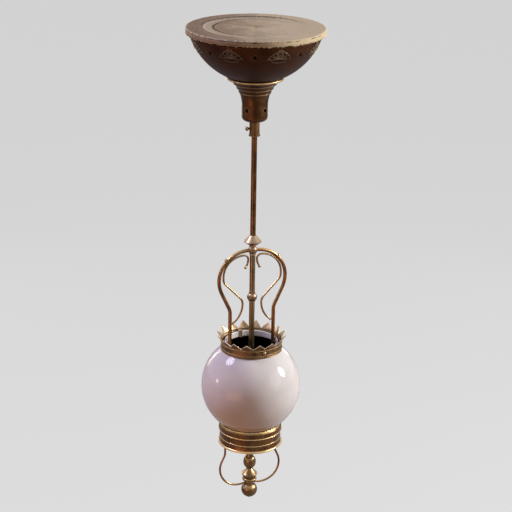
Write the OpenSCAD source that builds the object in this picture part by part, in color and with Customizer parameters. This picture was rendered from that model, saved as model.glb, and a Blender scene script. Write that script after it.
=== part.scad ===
// Hall pendant light: an opal glass globe held between a toothed crown and a spun gallery,
// hung by a brass stem and a harp of two bent tubes under a vented canopy bowl.
// Millimetres, +Z up. The origin is the centre of the ceiling block's top face, so the
// light hangs down into negative Z. The harp lies in the XZ plane.

/* [Ceiling block] */
// How far the block's edge stands out past the bowl's rim
block_overhang = 10.2; // [6:0.2:20]
// Height of the upright painted edge
block_edge_h = 13; // [8:0.5:20]
// Height of the slanted skirt under the edge
block_skirt_h = 8; // [5:0.5:14]
// How far the underside stands out past the bowl's rim
block_lip = 1.2; // [0.5:0.1:4]
// Width of the flat ring round the recess
recess_rim_w = 33; // [30:0.5:40]
// Width of the slope round the sunk middle
recess_slope_w = 18; // [10:1:24]
// Depth of the sunk middle
recess_depth = 1; // [0.5:0.1:2]
// Distance of the fixing holes from the block's edge
fixing_inset = 23; // [17:0.5:28]
// Diameter of those holes
fixing_hole_d = 4.6; // [4:0.2:6]
// Number of those holes
fixing_count = 4; // [3:1:6]

/* [Ceiling swivel] */
// Diameter of the iron ceiling flange
flange_d = 84; // [76:1:100]
// Thickness of its plate
flange_t = 4; // [3:0.5:6]
// Diameter of the swivel ball
ball_d = 28; // [24:0.5:32]
// Height from the ball's centre up to the flange plate
ball_drop = 19; // [17:0.5:26]
// Wall between the ball and the outside of its boss
boss_wall = 6; // [4:0.5:10]
// Wall of the retaining cap that screws over the boss
cap_wall = 3.5; // [2.5:0.5:6]
// Diameter of the hole for the lead
lead_hole_d = 6; // [4:0.5:7]
// Circle of the screws that hold the flange to the block
flange_pcd = 66; // [62:1:72]
// Diameter of those screws
flange_screw_d = 3.6; // [3:0.2:5]
// Length of those screws
flange_screw_l = 16; // [12:1:20]

/* [Canopy bowl] */
// Diameter of the bowl at its rim
bowl_d = 245.6; // [230:0.2:262]
// Depth of the whole sphere cap below the rim
bowl_depth = 86.3; // [78:0.1:96]
// Thickness of the sheet
bowl_wall = 1.2; // [0.8:0.1:2]
// Gap between the block and the bowl's rim
rim_gap = 2.6; // [2.4:0.1:5]
// Height of the star vents below the rim
vent_drop = 10; // [8:0.5:20]
// Width of a star vent
vent_w = 16; // [10:0.5:20]
// Number of star vents
vent_count = 8; // [4:1:10]
// Turn of the first star vent about the stem
vent_turn = 24.5; // [0:0.5:45]

/* [Neck cup] */
// Diameter over the lip ring under the bowl
lip_d = 109.6; // [96:0.2:120]
// Thickness of the lip ring
lip_t = 5; // [3:0.2:6]
// Diameter of the straight part of the cup
cup_d = 50; // [44:0.5:56]
// Height of the trumpet flare
flare_h = 50; // [42:0.5:60]
// Height of the straight part
cup_h = 20.3; // [16:0.1:28]
// Radius of the cup's bottom corner
cup_corner_r = 9; // [5:0.5:11]
// Thickness of the cup's wall
cup_wall = 1.2; // [0.8:0.1:2]
// Height of the first turned ridge below the lip ring
ridge_drop = 11.2; // [9:0.2:14]
// Distance from ridge to ridge down the flare
ridge_step = 8.4; // [6:0.2:10]
// Number of ridges
ridge_count = 3; // [2:1:4]
// Diameter of a round vent in the cup
cup_vent_d = 8.4; // [5:0.2:10]
// Number of round vents
cup_vent_count = 4; // [3:1:6]
// Turn of the first round vent about the stem
cup_vent_turn = 33; // [0:1:90]

/* [Slip collar] */
// Height of the collar below the cup
collar_h = 30; // [24:0.5:40]
// Diameter of the collar's waist
collar_d = 19.8; // [17:0.2:24]
// How far its end flanges stand out
collar_flange_w = 1.8; // [1:0.1:3]
// Thickness of an end flange
collar_flange_t = 2.2; // [1.5:0.1:3]
// Diameter of the threaded spigot inside the cup
spigot_d = 17; // [15:0.5:19]
// Height of the spigot
spigot_h = 9; // [7:0.5:12]
// Height of the lock nut on the spigot
lock_nut_h = 4; // [3:0.5:6]
// Diameter of the thumbscrew's shank
thumb_d = 3.8; // [3:0.1:5]
// Diameter of its cone head
thumb_head_d = 9.6; // [7:0.2:13]
// Length of the cone head
thumb_head_l = 5.2; // [4:0.2:8]
// How far the slip collar can drop down the stem
canopy_travel = 200; // [100:1:200]

/* [Stem and rod] */
// Distance from the ceiling down to the hub ball
hub_drop = 443; // [420:0.2:520]
// Outer diameter of stem and centre rod
stem_d = 11; // [10:0.2:14]
// Bore of the hollow stem
stem_bore = 8; // [6:0.2:9]
// Diameter of the hub ball
hub_d = 19; // [18:0.2:24]
// Widest diameter of the double cone
cone_d = 34.4; // [28:0.2:42]
// Height of the upper cone
cone_top_h = 11.5; // [8:0.5:16]
// Height of the lower cone
cone_low_h = 7; // [5:0.5:12]
// Diameter of the bead on the centre rod
bead_d = 20; // [17:0.2:26]
// Distance from the hub ball down to the bead
bead_drop = 99.6; // [90:0.5:130]
// Diameter of the threaded end of the rod
thread_d = 8; // [6:0.2:9]

/* [Harp arms] */
// Outer diameter of an arm tube
arm_d = 7.2; // [6:0.2:9]
// Bore of an arm tube
arm_bore = 4.6; // [3:0.2:6]
// Slope at which an arm leaves the hub, in degrees
arm_tilt = 4.5; // [0:0.5:8]
// Straight run from the hub's centre before the big bend
arm_lead = 14.5; // [12:0.5:18]
// Radius of the big bend, along the tube's middle
arm_bend_r = 59.6; // [54:0.2:64]
// How far the big bend turns in past upright, in degrees
arm_lean = 25; // [20:1:32]
// Radius of the bend back to upright
arm_back_r = 31; // [20:1:44]
// Gap between an arm and the glass neck
arm_glass_gap = 1; // [0.6:0.1:4]
// Radius of the two small bends inside the globe
arm_foot_r = 18; // [12:1:20]

/* [Scroll wires] */
// Diameter of a scroll wire
scroll_d = 4; // [3:0.2:4.6]
// Gap between the curl and the centre rod
scroll_rod_gap = 1.7; // [0.6:0.1:4]
// Radius of the curl beside the stem
scroll_curl_r = 9; // [8:0.1:11]
// Radius of the curl's tail
scroll_tail_r = 27.6; // [22:0.2:34]
// How far the tail turns, in degrees
scroll_tail_turn = 37; // [25:1:50]
// How far the scroll runs straight down beside the arm
scroll_side_run = 5; // [0:0.5:10]
// Radius of the bend that leaves the arm
scroll_side_r = 14; // [8:0.5:18]
// Slope of the straight part between the bends, in degrees
scroll_slope = 44; // [38:1:48]
// Length of that straight part
scroll_run = 44.5; // [38:0.5:48]
// Radius of the inner bulge
scroll_bulge_r = 20; // [14:0.5:26]
// Radius of the wide bend below the inner bulge
scroll_low_r = 46; // [36:0.5:56]
// Slope of the last straight part, in degrees
scroll_end_slope = 46; // [38:1:52]
// Diameter of the small ball that rests on the arm
scroll_foot_d = 4.8; // [4.2:0.2:6]
// Diameter of the ball on the curled end
scroll_ball_d = 6.4; // [5:0.2:9]
// Where the fixing screw sits on the big bend, in degrees above level
screw_angle = 44; // [38:1:48]
// Diameter of the fixing screw
scroll_screw_d = 2; // [1.6:0.1:2.6]
// Diameter of its round head
scroll_head_d = 8; // [6:0.2:10]

/* [Lamps] */
// Widest diameter of a candle lamp
lamp_d = 35; // [30:0.5:37]
// Length of the lamp's glass
lamp_l = 76; // [66:1:84]
// Gap between a lamp and the centre rod
lamp_rod_gap = 3.5; // [2.5:0.1:4.5]
// Height of the lampholder's top above the globe's centre
holder_rise = 45; // [40:0.5:52]
// Diameter of a lampholder
holder_d = 25; // [22:0.5:26]
// Height of a lampholder
holder_h = 44; // [38:0.5:48]
// Diameter of a lamp's screw cap
lamp_cap_d = 14; // [12:0.5:16]

/* [Globe] */
// Diameter of the opal globe
globe_d = 200; // [190:1:215]
// Thickness of the glass
glass_t = 3.2; // [2:0.1:3.6]
// Outer diameter of its two necks
neck_d = 107.2; // [103:0.2:112]
// Height of the upper neck above the ball
neck_h = 12.6; // [10:0.2:18]
// Height of the lower neck below the ball
foot_h = 18; // [14:0.5:24]
// Distance from the hub ball down to the globe's centre
globe_drop = 289; // [280:0.2:330]

/* [Crown ring] */
// Diameter of the band
crown_d = 122.4; // [118:0.2:130]
// Height of the band up to the roots of the teeth
crown_h = 18; // [16:0.5:24]
// Thickness of the sheet
crown_wall = 1; // [0.8:0.1:1.4]
// Number of teeth
tooth_count = 16; // [8:2:24]
// Height of a tooth
tooth_h = 14; // [8:0.5:20]
// How far a tooth leans out
tooth_lean = 9; // [4:0.5:14]
// Thickness of a beaded row
row_t = 1.6; // [1:0.1:2.2]
// Turn of the crown about the stem
crown_turn = 6; // [0:1:22]
// Width of a spring clip
clip_w = 7; // [5:0.5:9]
// Thickness of a spring clip
clip_t = 1; // [0.6:0.1:1.2]
// Length of the clip's inner leg
clip_leg = 13; // [8:0.5:16]
// Diameter of the clip's screw
clip_screw_d = 2.6; // [2:0.1:3.4]
// Diameter of its round head
clip_head_d = 7.6; // [6:0.2:8.4]

/* [Gallery] */
// Diameter over the upper lip
gallery_lip_d = 124.4; // [120:0.2:128]
// How far the upper band stands out from the lip
gallery_band_out = 1.6; // [1.4:0.1:3]
// How far the middle ring stands out from the band
gallery_ring_out = 1.2; // [0.8:0.1:3]
// How far the foot ring stands out from the middle ring
gallery_foot_out = 0.4; // [0:0.1:4]
// Distance from the lip down to the middle ring
gallery_ring_drop = 14.3; // [11:0.1:18]
// Length of the straight wall below the middle ring
gallery_wall_h = 15.6; // [12:0.2:18]
// Depth of the skirt below the floor
gallery_skirt_h = 20; // [15:0.5:26]
// Thickness of the sheet
gallery_wall = 1.2; // [0.8:0.1:1.8]
// Width of the rolled edges
gallery_roll_w = 5.4; // [4:0.1:6]
// Thickness of the felt ring under the globe
felt_t = 1.5; // [1:0.1:3]

/* [Finial] */
// Diameter of the finial's plain stem
finial_stem_d = 14.4; // [12.4:0.2:17]
// Length of the plain stem below the gallery floor
finial_stem_h = 56; // [48:0.5:66]
// Diameter of the round bulb
bulb_d = 25.8; // [22:0.2:31]
// Diameter of the disc under the bulb
disc_d = 33.2; // [28:0.2:40]
// Height of the hollow curve above the disc
ogee_h = 12; // [9:0.5:16]
// Diameter of the ring under the disc
ring_d = 30; // [25:0.2:36]
// Height of that ring
ring_h = 6; // [4:0.5:9]
// Diameter of the ball nut
nut_d = 33; // [29:0.2:38]
// Thickness of the washer on the ball nut
washer_t = 1.5; // [1:0.1:2.5]
// How far the washer and nut can come down on the thread
nut_travel = 4.5; // [1.5:1.5:4.5]

/* [Wire loops] */
// Diameter of the loop wire
loop_d = 4.2; // [3:0.2:4.6]
// Distance from the stem to a loop's upper end
loop_foot_x = 53.5; // [50:0.5:54]
// Radius of the bend out
loop_out_r = 22; // [16:0.5:26]
// Slope of the outward part, in degrees
loop_lean = 25; // [20:1:30]
// Length of the outward straight part
loop_run = 12; // [8:0.5:14]
// Radius of the large lower bend
loop_bend_r = 40; // [34:0.5:42]
// Slope at which the loop runs up to its collar, in degrees
loop_rise = 8; // [4:1:12]
// Diameter of the collar that takes both loops
loop_collar_d = 20; // [18:0.2:24]
// Height of that collar
loop_collar_h = 5.4; // [5:0.2:8]

/* [Hidden] */
$fn = 96;

// Named clearances. Every fit below is made of one of these.
seat = 0.3;
thread_fit = 0.05;
slide_fit = 0.05;
swivel_fit = 0.05;
eps = 0.1;
sleeve = 0.04;
lap = 0.5;

brass = [0.62, 0.46, 0.25];
dark_bronze = [0.27, 0.17, 0.09];
cream = [0.72, 0.65, 0.54];
iron = [0.18, 0.17, 0.16];
opal = [0.90, 0.88, 0.88];

// Ceiling block and bowl
bowl_rim_r = bowl_d / 2;
block_r = bowl_rim_r + block_overhang;
under_r = bowl_rim_r + block_lip;
recess_r = block_r - recess_rim_w;
block_h = block_edge_h + block_skirt_h;
rim_z = -block_h - rim_gap;
bowl_r = (pow(bowl_rim_r, 2) + pow(bowl_depth, 2)) / (2 * bowl_depth);
bowl_z = rim_z + bowl_r - bowl_depth;

// Ceiling swivel
ball_r = ball_d / 2;
flange_z = -block_h - flange_t;
ball_z = flange_z - ball_drop;
boss_r = ball_r + boss_wall;
cap_r = boss_r + cap_wall;
cap_depth = ball_r * 0.7;
stem_r = stem_d / 2;
swivel_neck_r = stem_r + 1.5;
stem_seat = 12;
swivel_neck_z = ball_z - ball_r - stem_seat;
stem_top_z = ball_z - ball_r + 2;

// Neck cup: its lip ring lies against the bowl
lip_r = lip_t / 2;
lip_x = lip_d / 2 - lip_r;
lip_z = bowl_z - sqrt(pow(bowl_r + lip_r + eps, 2) - pow(lip_x, 2));
cup_r = cup_d / 2;
flare_w = lip_x - cup_r;
flare_r = (pow(flare_w, 2) + pow(flare_h, 2)) / (2 * flare_w);
flare_x = cup_r + flare_r;
flare_z = lip_z - flare_h;
corner_z = flare_z - cup_h;
cup_z = corner_z - cup_corner_r;
cup_vent_z = flare_z - 7;
ridge_t = 2.8;

// Slip collar
collar_r = collar_d / 2;
collar_flange_r = collar_r + collar_flange_w;
collar_z = cup_z - collar_h;
thumb_z = cup_z - collar_h / 2;
thumb_r = thumb_d / 2;
spigot_r = spigot_d / 2;
lock_nut_r = spigot_r + 4.5;

// Hub, cone and rod
hub_z = -hub_drop;
hub_r = hub_d / 2;
hub_neck_r = stem_r + 1;
hub_neck_h = 10;
hub_seat = 5;
cone_z = hub_z + hub_neck_h;
thread_r = thread_d / 2;

// Globe and what it stands on
globe_r = globe_d / 2;
globe_z = hub_z - globe_drop;
neck_r = neck_d / 2;
neck_in_r = neck_r - glass_t;
neck_root = sqrt(pow(globe_r, 2) - pow(neck_r, 2));
neck_top_z = globe_z + neck_root + neck_h;
foot_z = globe_z - neck_root - foot_h;
floor_z = foot_z - felt_t;

// Harp arms, worked out along the right-hand arm
arm_r = arm_d / 2;
arm_low_x = neck_in_r - arm_glass_gap - arm_r;
lamp_r = lamp_d / 2;
lamp_x = stem_r + lamp_rod_gap + lamp_r;
bend_x = arm_lead * cos(arm_tilt) - arm_bend_r * sin(arm_tilt);
bend_z = hub_z - arm_lead * sin(arm_tilt) - arm_bend_r * cos(arm_tilt);
lean_x = bend_x + arm_bend_r * cos(arm_lean);
lean_z = bend_z - arm_bend_r * sin(arm_lean);
back_x = arm_low_x + arm_back_r * (1 - cos(arm_lean));
arm_run = (lean_x - back_x) / sin(arm_lean);
upright_z = lean_z - arm_run * cos(arm_lean) - arm_back_r * sin(arm_lean);
foot_turn = 45;
foot_run = (arm_low_x - lamp_x - 2 * arm_foot_r * (1 - cos(foot_turn))) / sin(foot_turn);
holder_z = globe_z + holder_rise;
arm_seat = 8;
foot_drop = 2 * arm_foot_r * sin(foot_turn) + foot_run * cos(foot_turn);
arm_down = upright_z - holder_z - foot_drop;
ARM_STEPS = [
    [arm_lead - stem_r + 1, arm_bend_r, -(90 - arm_tilt + arm_lean)],
    [arm_run, arm_back_r, arm_lean],
    [arm_down, arm_foot_r, -foot_turn],
    [foot_run, arm_foot_r, foot_turn],
    [arm_seat - seat, 0, 0]
];

// Scroll wires, worked out from the point where they are screwed to the arm
scroll_r = scroll_d / 2;
touch_r = arm_bend_r - arm_r - scroll_r - seat;
touch_x = bend_x + touch_r * cos(screw_angle);
touch_z = bend_z + touch_r * sin(screw_angle);
scroll_screw_r = scroll_screw_d / 2;
screw_skin = 0.8;
curl_x = stem_r + scroll_rod_gap + scroll_r + scroll_curl_r;
scroll_top_r = (touch_x - curl_x) / cos(screw_angle);
curl_z = touch_z + scroll_top_r * (1 - sin(screw_angle)) - scroll_curl_r;
tail_x = curl_x - scroll_curl_r + scroll_tail_r * (1 - cos(scroll_tail_turn));
tail_z = curl_z - scroll_tail_r * sin(scroll_tail_turn);
bulge_x = curl_x + scroll_top_r - scroll_side_r * (1 - cos(scroll_slope))
    - scroll_run * sin(scroll_slope) - scroll_bulge_r * (1 - cos(scroll_slope));
bulge_z = curl_z + scroll_curl_r - scroll_top_r - scroll_side_run - scroll_side_r * sin(scroll_slope)
    - scroll_run * cos(scroll_slope) - scroll_bulge_r * sin(scroll_slope);
low_x = bulge_x + scroll_low_r * (1 - cos(scroll_end_slope));
low_z = bulge_z - scroll_low_r * sin(scroll_end_slope);
scroll_end_x = arm_low_x - arm_r - scroll_foot_d / 2 - seat;
scroll_end_run = (scroll_end_x - low_x) / sin(scroll_end_slope);
scroll_end_z = low_z - scroll_end_run * cos(scroll_end_slope);
SCROLL_STEPS = [
    [0, scroll_tail_r, -scroll_tail_turn],
    [0, scroll_curl_r, -90],
    [0, scroll_top_r, -90],
    [scroll_side_run, scroll_side_r, -scroll_slope],
    [scroll_run, scroll_bulge_r, scroll_slope],
    [0, scroll_low_r, scroll_end_slope],
    [scroll_end_run, 0, 0]
];

// Lampholders
holder_r = holder_d / 2;
holder_neck_r = arm_r + 2.5;
lamp_cap_r = lamp_cap_d / 2;
lamp_glass_z = holder_z - holder_h;

// Crown ring: its rolled lower edge rests on the globe's shoulder
crown_r = crown_d / 2;
roll_r = 1.3;
crown_z = globe_z + sqrt(pow(globe_r + roll_r + seat, 2) - pow(crown_r, 2));
tooth_root_z = crown_z + crown_h;
clip_top_z = neck_top_z + seat;
clip_screw_z = crown_z + crown_h * 0.52;
clip_in_r = neck_in_r - seat;
clip_out_r = crown_r - crown_wall - eps;

// Gallery: its lip cradles the globe, its floor carries the felt ring
gallery_lip_t = 2.4;
gallery_roll_r = gallery_lip_t / 2;
gallery_lip_x = gallery_lip_d / 2 - gallery_roll_r;
gallery_lip_z = globe_z - sqrt(pow(globe_r + gallery_roll_r + seat, 2) - pow(gallery_lip_x, 2));
gallery_band_r = gallery_lip_d / 2 + gallery_band_out;
gallery_ring_r = gallery_band_r + gallery_ring_out;
gallery_ring_z = gallery_lip_z - gallery_ring_drop;
gallery_foot_r = gallery_ring_r + gallery_foot_out;
gallery_foot_z = floor_z - gallery_skirt_h;
gallery_foot_x = gallery_foot_r - gallery_roll_w / 2;
gallery_wall_r = gallery_band_r - 1.8;
gallery_step_z = gallery_ring_z - gallery_wall_h;
cove_h = gallery_step_z - gallery_foot_z;
cove_w = gallery_foot_x - gallery_wall_r + 0.6;
cove_r = (pow(cove_w, 2) + pow(cove_h, 2)) / (2 * cove_w);
under_z = floor_z - gallery_wall;

// Finial
finial_stem_r = finial_stem_d / 2;
bulb_r = bulb_d / 2;
bulb_z = under_z - finial_stem_h - bulb_r;
ogee_z = bulb_z - bulb_r - 0.6;
disc_r = disc_d / 2;
disc_t = 2;
ogee_w = disc_r - disc_t / 2 - finial_stem_r;
ogee_r = (pow(ogee_w, 2) + pow(ogee_h, 2)) / (2 * ogee_w);
disc_z = ogee_z - ogee_h - disc_t / 2;
saucer_h = 7;
groove_t = 1.4;
ring_z = disc_z - disc_t / 2 - saucer_h - groove_t;
ring_r = ring_d / 2;
spindle_z = ring_z - ring_h - 2.6;
loop_collar_z = spindle_z - loop_collar_h;
washer_z = loop_collar_z - washer_t - slide_fit;
nut_r = nut_d / 2;
nut_flat_r = 11.4;
nut_z = washer_z - slide_fit - sqrt(pow(nut_r, 2) - pow(nut_flat_r, 2));
nut_bore_z = nut_z - nut_r * 0.55;
thread_z = nut_bore_z + 3;

// Wire loops, worked out from the collar up to the gallery floor
loop_r = loop_d / 2;
loop_collar_r = loop_collar_d / 2;
loop_seat = 3;
loop_end_x = loop_foot_x + (loop_out_r + loop_bend_r) * (1 - cos(loop_lean))
    + loop_run * sin(loop_lean) - loop_bend_r * (1 + sin(loop_rise));
loop_last = (loop_end_x - loop_collar_r + loop_seat) / cos(loop_rise);
loop_drop = (loop_out_r + loop_bend_r) * sin(loop_lean) + loop_run * cos(loop_lean)
    + loop_bend_r * cos(loop_rise) - loop_last * sin(loop_rise);
loop_down = under_z - loop_collar_z - loop_collar_h / 2 - loop_drop;
LOOP_STEPS = [
    [loop_down, loop_out_r, loop_lean],
    [loop_run, loop_bend_r, -(90 + loop_lean + loop_rise)],
    [loop_last, 0, 0]
];

// A round bar bent in the XZ plane. It starts at the origin along +X. Each step is a
// straight run, then a bend of a radius and an angle, upward where positive. The runs are
// a hair thicker and reach a little way over the bends, as the sleeves of a brazed joint do.
module bent_bar(steps, r, i = 0) {
    if (i < len(steps)) {
        run = steps[i][0];
        radius = steps[i][1];
        turn = steps[i][2];
        behind = i > 0 ? lap : 0;
        ahead = turn != 0 ? lap : 0;
        translate([-behind, 0, 0])
            rotate([0, 90, 0])
                cylinder(r = r + sleeve, h = behind + run + ahead);
        translate([run, 0, 0]) {
            if (turn != 0)
                bend(radius, turn, r);
            translate([0, 0, sign(turn) * radius])
                rotate([0, -turn, 0])
                    translate([0, 0, -sign(turn) * radius])
                        bent_bar(steps, r, i + 1);
        }
    }
}

// One bend: a part of a torus whose hub is above the bar, or below it for a turn down.
module bend(radius, turn, r) {
    start = turn > 0 ? -90 : 90 + turn;
    translate([0, 0, sign(turn) * radius])
        rotate([90, 0, 0])
            rotate([0, 0, start])
                rotate_extrude(angle = abs(turn))
                    translate([radius, 0])
                        circle(r);
}

module ring_2d(outer, inner) {
    difference() {
        circle(outer);
        if (inner > 0)
            circle(inner);
    }
}

// A disc or ring between two heights
module tube(r_out, r_in, z_low, z_high) {
    translate([0, 0, z_low])
        difference() {
            cylinder(r = r_out, h = z_high - z_low);
            if (r_in > 0)
                translate([0, 0, -1])
                    cylinder(r = r_in, h = z_high - z_low + 2);
        }
}

// A cone or cylinder between two heights
module turned(r_low, r_high, z_low, z_high) {
    translate([0, 0, z_low])
        cylinder(r1 = r_low, r2 = r_high, h = z_high - z_low);
}

// A horizontal edge with a round nose, as a half profile
module rolled_edge(x_in, x_out, z, t) {
    translate([x_in, z - t / 2])
        square([x_out - t / 2 - x_in, t]);
    translate([x_out - t / 2, z])
        circle(t / 2);
}

// Copies of a piece evenly round the stem
module round_the_stem(count, turn = 0) {
    for (i = [0:count - 1])
        rotate([0, 0, turn + i * 360 / count])
            children();
}

module ceiling_block() {
    color(cream)
        difference() {
            union() {
                turned(block_r, block_r, -block_edge_h, 0);
                turned(under_r, block_r, -block_h, -block_edge_h);
            }
            turned(recess_r - recess_slope_w, recess_r, -recess_depth, 0);
            turned(lead_hole_d / 2, lead_hole_d / 2, -block_h - 1, 1);
            round_the_stem(fixing_count, 45)
                translate([block_r - fixing_inset, 0, -block_h - 1])
                    cylinder(d = fixing_hole_d, h = block_h + 2);
            round_the_stem(3, 90)
                translate([flange_pcd / 2, 0, -block_h - 1])
                    cylinder(d = flange_screw_d + 2 * thread_fit, h = flange_screw_l - flange_t + 2);
        }
}

// Iron plate with a boss that holds the upper half of the swivel's seat
module ceiling_flange() {
    color(iron)
        difference() {
            union() {
                turned(flange_d / 2, flange_d / 2, flange_z, -block_h);
                turned(boss_r, boss_r, ball_z, flange_z);
            }
            translate([0, 0, ball_z])
                sphere(ball_r + swivel_fit);
            turned(lead_hole_d / 2, lead_hole_d / 2, ball_z, 0);
            round_the_stem(3, 90)
                translate([flange_pcd / 2, 0, flange_z])
                    flange_screw(thread_fit);
        }
}

// A countersunk wood screw whose head is flush with the flange's underside
module flange_screw(gap) {
    translate([0, 0, -gap])
        cylinder(r1 = flange_screw_d + gap, r2 = flange_screw_d / 2 + gap, h = flange_screw_d / 2 + gap);
    cylinder(d = flange_screw_d + 2 * gap, h = flange_screw_l);
}

module flange_screws() {
    color(iron)
        round_the_stem(3, 90)
            translate([flange_pcd / 2, 0, flange_z])
                difference() {
                    flange_screw(0);
                    translate([-flange_screw_d, -0.4, -1])
                        cube([2 * flange_screw_d, 0.8, 1.8]);
                }
}

// Ring that screws over the boss and holds the lower half of the seat
module socket_cap() {
    color(brass)
        difference() {
            turned(cap_r, cap_r, ball_z - cap_depth, ball_z + ball_drop * 0.6);
            turned(boss_r + thread_fit, boss_r + thread_fit, ball_z - 0.02, flange_z);
            translate([0, 0, ball_z])
                sphere(ball_r + swivel_fit);
        }
}

module swivel_ball() {
    color(brass)
        difference() {
            union() {
                translate([0, 0, ball_z])
                    sphere(ball_r);
                turned(swivel_neck_r, swivel_neck_r, swivel_neck_z, ball_z - ball_r + 3);
            }
            turned(stem_r + thread_fit, stem_r + thread_fit, swivel_neck_z - 1, stem_top_z + eps);
            turned(lead_hole_d / 2, lead_hole_d / 2, swivel_neck_z, ball_z + ball_r + 1);
        }
}

module stem_tube() {
    color(brass)
        tube(stem_r, stem_bore / 2, hub_z + hub_seat + eps, stem_top_z);
}

// Two cones base to base, with a thin upright edge between them
module double_cone() {
    edge_h = 1.5;
    waist_z = cone_z + cone_low_h;
    color(brass)
        difference() {
            union() {
                turned(hub_neck_r + 1.4, cone_d / 2, cone_z, waist_z);
                turned(cone_d / 2, cone_d / 2, waist_z, waist_z + edge_h);
                turned(cone_d / 2, stem_r + 0.8, waist_z + edge_h, waist_z + edge_h + cone_top_h);
            }
            turned(stem_r + thread_fit, stem_r + thread_fit, cone_z - 1, hub_z + 60);
        }
}

// Ball with short necks for the stem and the rod and a tilted socket for each arm
module hub_ball() {
    color(brass)
        difference() {
            union() {
                translate([0, 0, hub_z])
                    sphere(hub_r);
                turned(hub_neck_r, hub_neck_r, hub_z - hub_neck_h, cone_z);
            }
            turned(stem_r + thread_fit, stem_r + thread_fit, hub_z + hub_seat, hub_z + hub_r * 2);
            turned(stem_r + thread_fit, stem_r + thread_fit, hub_z - hub_r * 2, hub_z - hub_seat);
            turned(lead_hole_d / 2, lead_hole_d / 2, hub_z - 1, hub_z + hub_r);
            for (side = [0, 180])
                rotate([0, 0, side])
                    translate([0, 0, hub_z])
                        rotate([0, 90 + arm_tilt, 0]) {
                            cylinder(r = arm_bore / 2, h = hub_r);
                            translate([0, 0, stem_r - 1 - thread_fit])
                                cylinder(r = arm_r + sleeve + thread_fit, h = hub_r);
                        }
        }
}

// The right-hand arm as a tube: out of the hub, over the big bend and down into the globe
module arm_tube() {
    difference() {
        translate([0, 0, hub_z])
            rotate([0, arm_tilt, 0])
                translate([stem_r - 1, 0, 0])
                    difference() {
                        bent_bar(ARM_STEPS, arm_r);
                        bent_bar(ARM_STEPS, arm_bore / 2);
                    }
        at_screw(arm_bend_r)
            cylinder(r = scroll_screw_r + thread_fit, h = arm_d + 2, center = true);
    }
}

// Puts a piece on the big bend's radius at the fixing screw, with +Z pointing outward
module at_screw(radius) {
    translate([bend_x + radius * cos(screw_angle), 0, bend_z + radius * sin(screw_angle)])
        rotate([0, 90 - screw_angle, 0])
            children();
}

module arm_left() {
    color(brass)
        mirror([1, 0, 0])
            arm_tube();
}

module arm_right() {
    color(brass)
        arm_tube();
}

// The right-hand scroll: one bent wire with a ball on each end and a blind hole for its screw
module scroll_wire() {
    difference() {
        union() {
            translate([tail_x, 0, tail_z]) {
                rotate([90, 0, 0])
                    sphere(d = scroll_ball_d);
                rotate([0, -90 - scroll_tail_turn, 0])
                    bent_bar(SCROLL_STEPS, scroll_r);
            }
            translate([scroll_end_x, 0, scroll_end_z])
                rotate([90, 0, 0])
                    sphere(d = scroll_foot_d);
        }
        at_screw(touch_r - scroll_r + screw_skin)
            cylinder(r = scroll_screw_r + thread_fit, h = scroll_d + 2);
    }
}

module scroll_left() {
    color(brass)
        mirror([1, 0, 0])
            scroll_wire();
}

module scroll_right() {
    color(brass)
        scroll_wire();
}

// A low round head made of a slice of a ball, its flat face on the XY plane
module round_head(d, h) {
    dome_r = (pow(d / 2, 2) + pow(h, 2)) / (2 * h);
    intersection() {
        translate([0, 0, h - dome_r])
            sphere(dome_r);
        cylinder(d = d + 1, h = h + 1);
    }
}

module scroll_screws() {
    head_h = 2.6;
    color(brass)
        for (side = [0, 1])
            mirror([side, 0, 0])
                at_screw(arm_bend_r + arm_r) {
                    difference() {
                        round_head(scroll_head_d, head_h);
                        translate([-scroll_head_d, -0.5, head_h - 0.9])
                            cube([2 * scroll_head_d, 1, 2]);
                    }
                    translate([0, 0, screw_skin + eps - arm_d - scroll_d - seat])
                        cylinder(r = scroll_screw_r, h = arm_d + scroll_d + seat - screw_skin);
                }
}

// Solid rod from the hub to the gallery floor, then a thinner threaded end
module centre_rod() {
    color(brass) {
        turned(stem_r, stem_r, floor_z + seat, hub_z - hub_seat - eps);
        turned(thread_r, thread_r, thread_z, floor_z + seat);
    }
}

module rod_bead() {
    bead_z = hub_z - bead_drop;
    color(brass)
        difference() {
            union() {
                translate([0, 0, bead_z])
                    sphere(d = bead_d);
                turned(stem_r + 1.2, stem_r + 1.2, bead_z - bead_d * 0.46, bead_z + bead_d * 0.46);
            }
            turned(stem_r + thread_fit, stem_r + thread_fit, bead_z - bead_d, bead_z + bead_d);
        }
}

// Lampholder: a turned cap that takes the arm, over a shell that takes the lamp's cap
module lampholder() {
    shoulder_h = 6;
    neck_h = 8;
    skirt_h = 5;
    translate([lamp_x, 0, 0])
        difference() {
            union() {
                turned(holder_neck_r, holder_neck_r, holder_z - neck_h, holder_z);
                turned(holder_r, holder_neck_r, holder_z - neck_h - shoulder_h, holder_z - neck_h);
                turned(holder_r, holder_r, holder_z - holder_h + skirt_h, holder_z - neck_h - shoulder_h);
                turned(holder_r - 1.5, holder_r - 1.5, holder_z - holder_h, holder_z - holder_h + skirt_h);
            }
            turned(arm_r + sleeve + thread_fit, arm_r + sleeve + thread_fit,
                holder_z - arm_seat, holder_z + 1);
            turned(lead_hole_d / 2, lead_hole_d / 2, holder_z - holder_h / 2, holder_z);
            turned(lamp_cap_r + thread_fit, lamp_cap_r + thread_fit,
                holder_z - holder_h - 1, holder_z - neck_h - shoulder_h - 4);
        }
}

module lampholder_left() {
    color(brass)
        mirror([1, 0, 0])
            lampholder();
}

module lampholder_right() {
    color(brass)
        lampholder();
}

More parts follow.
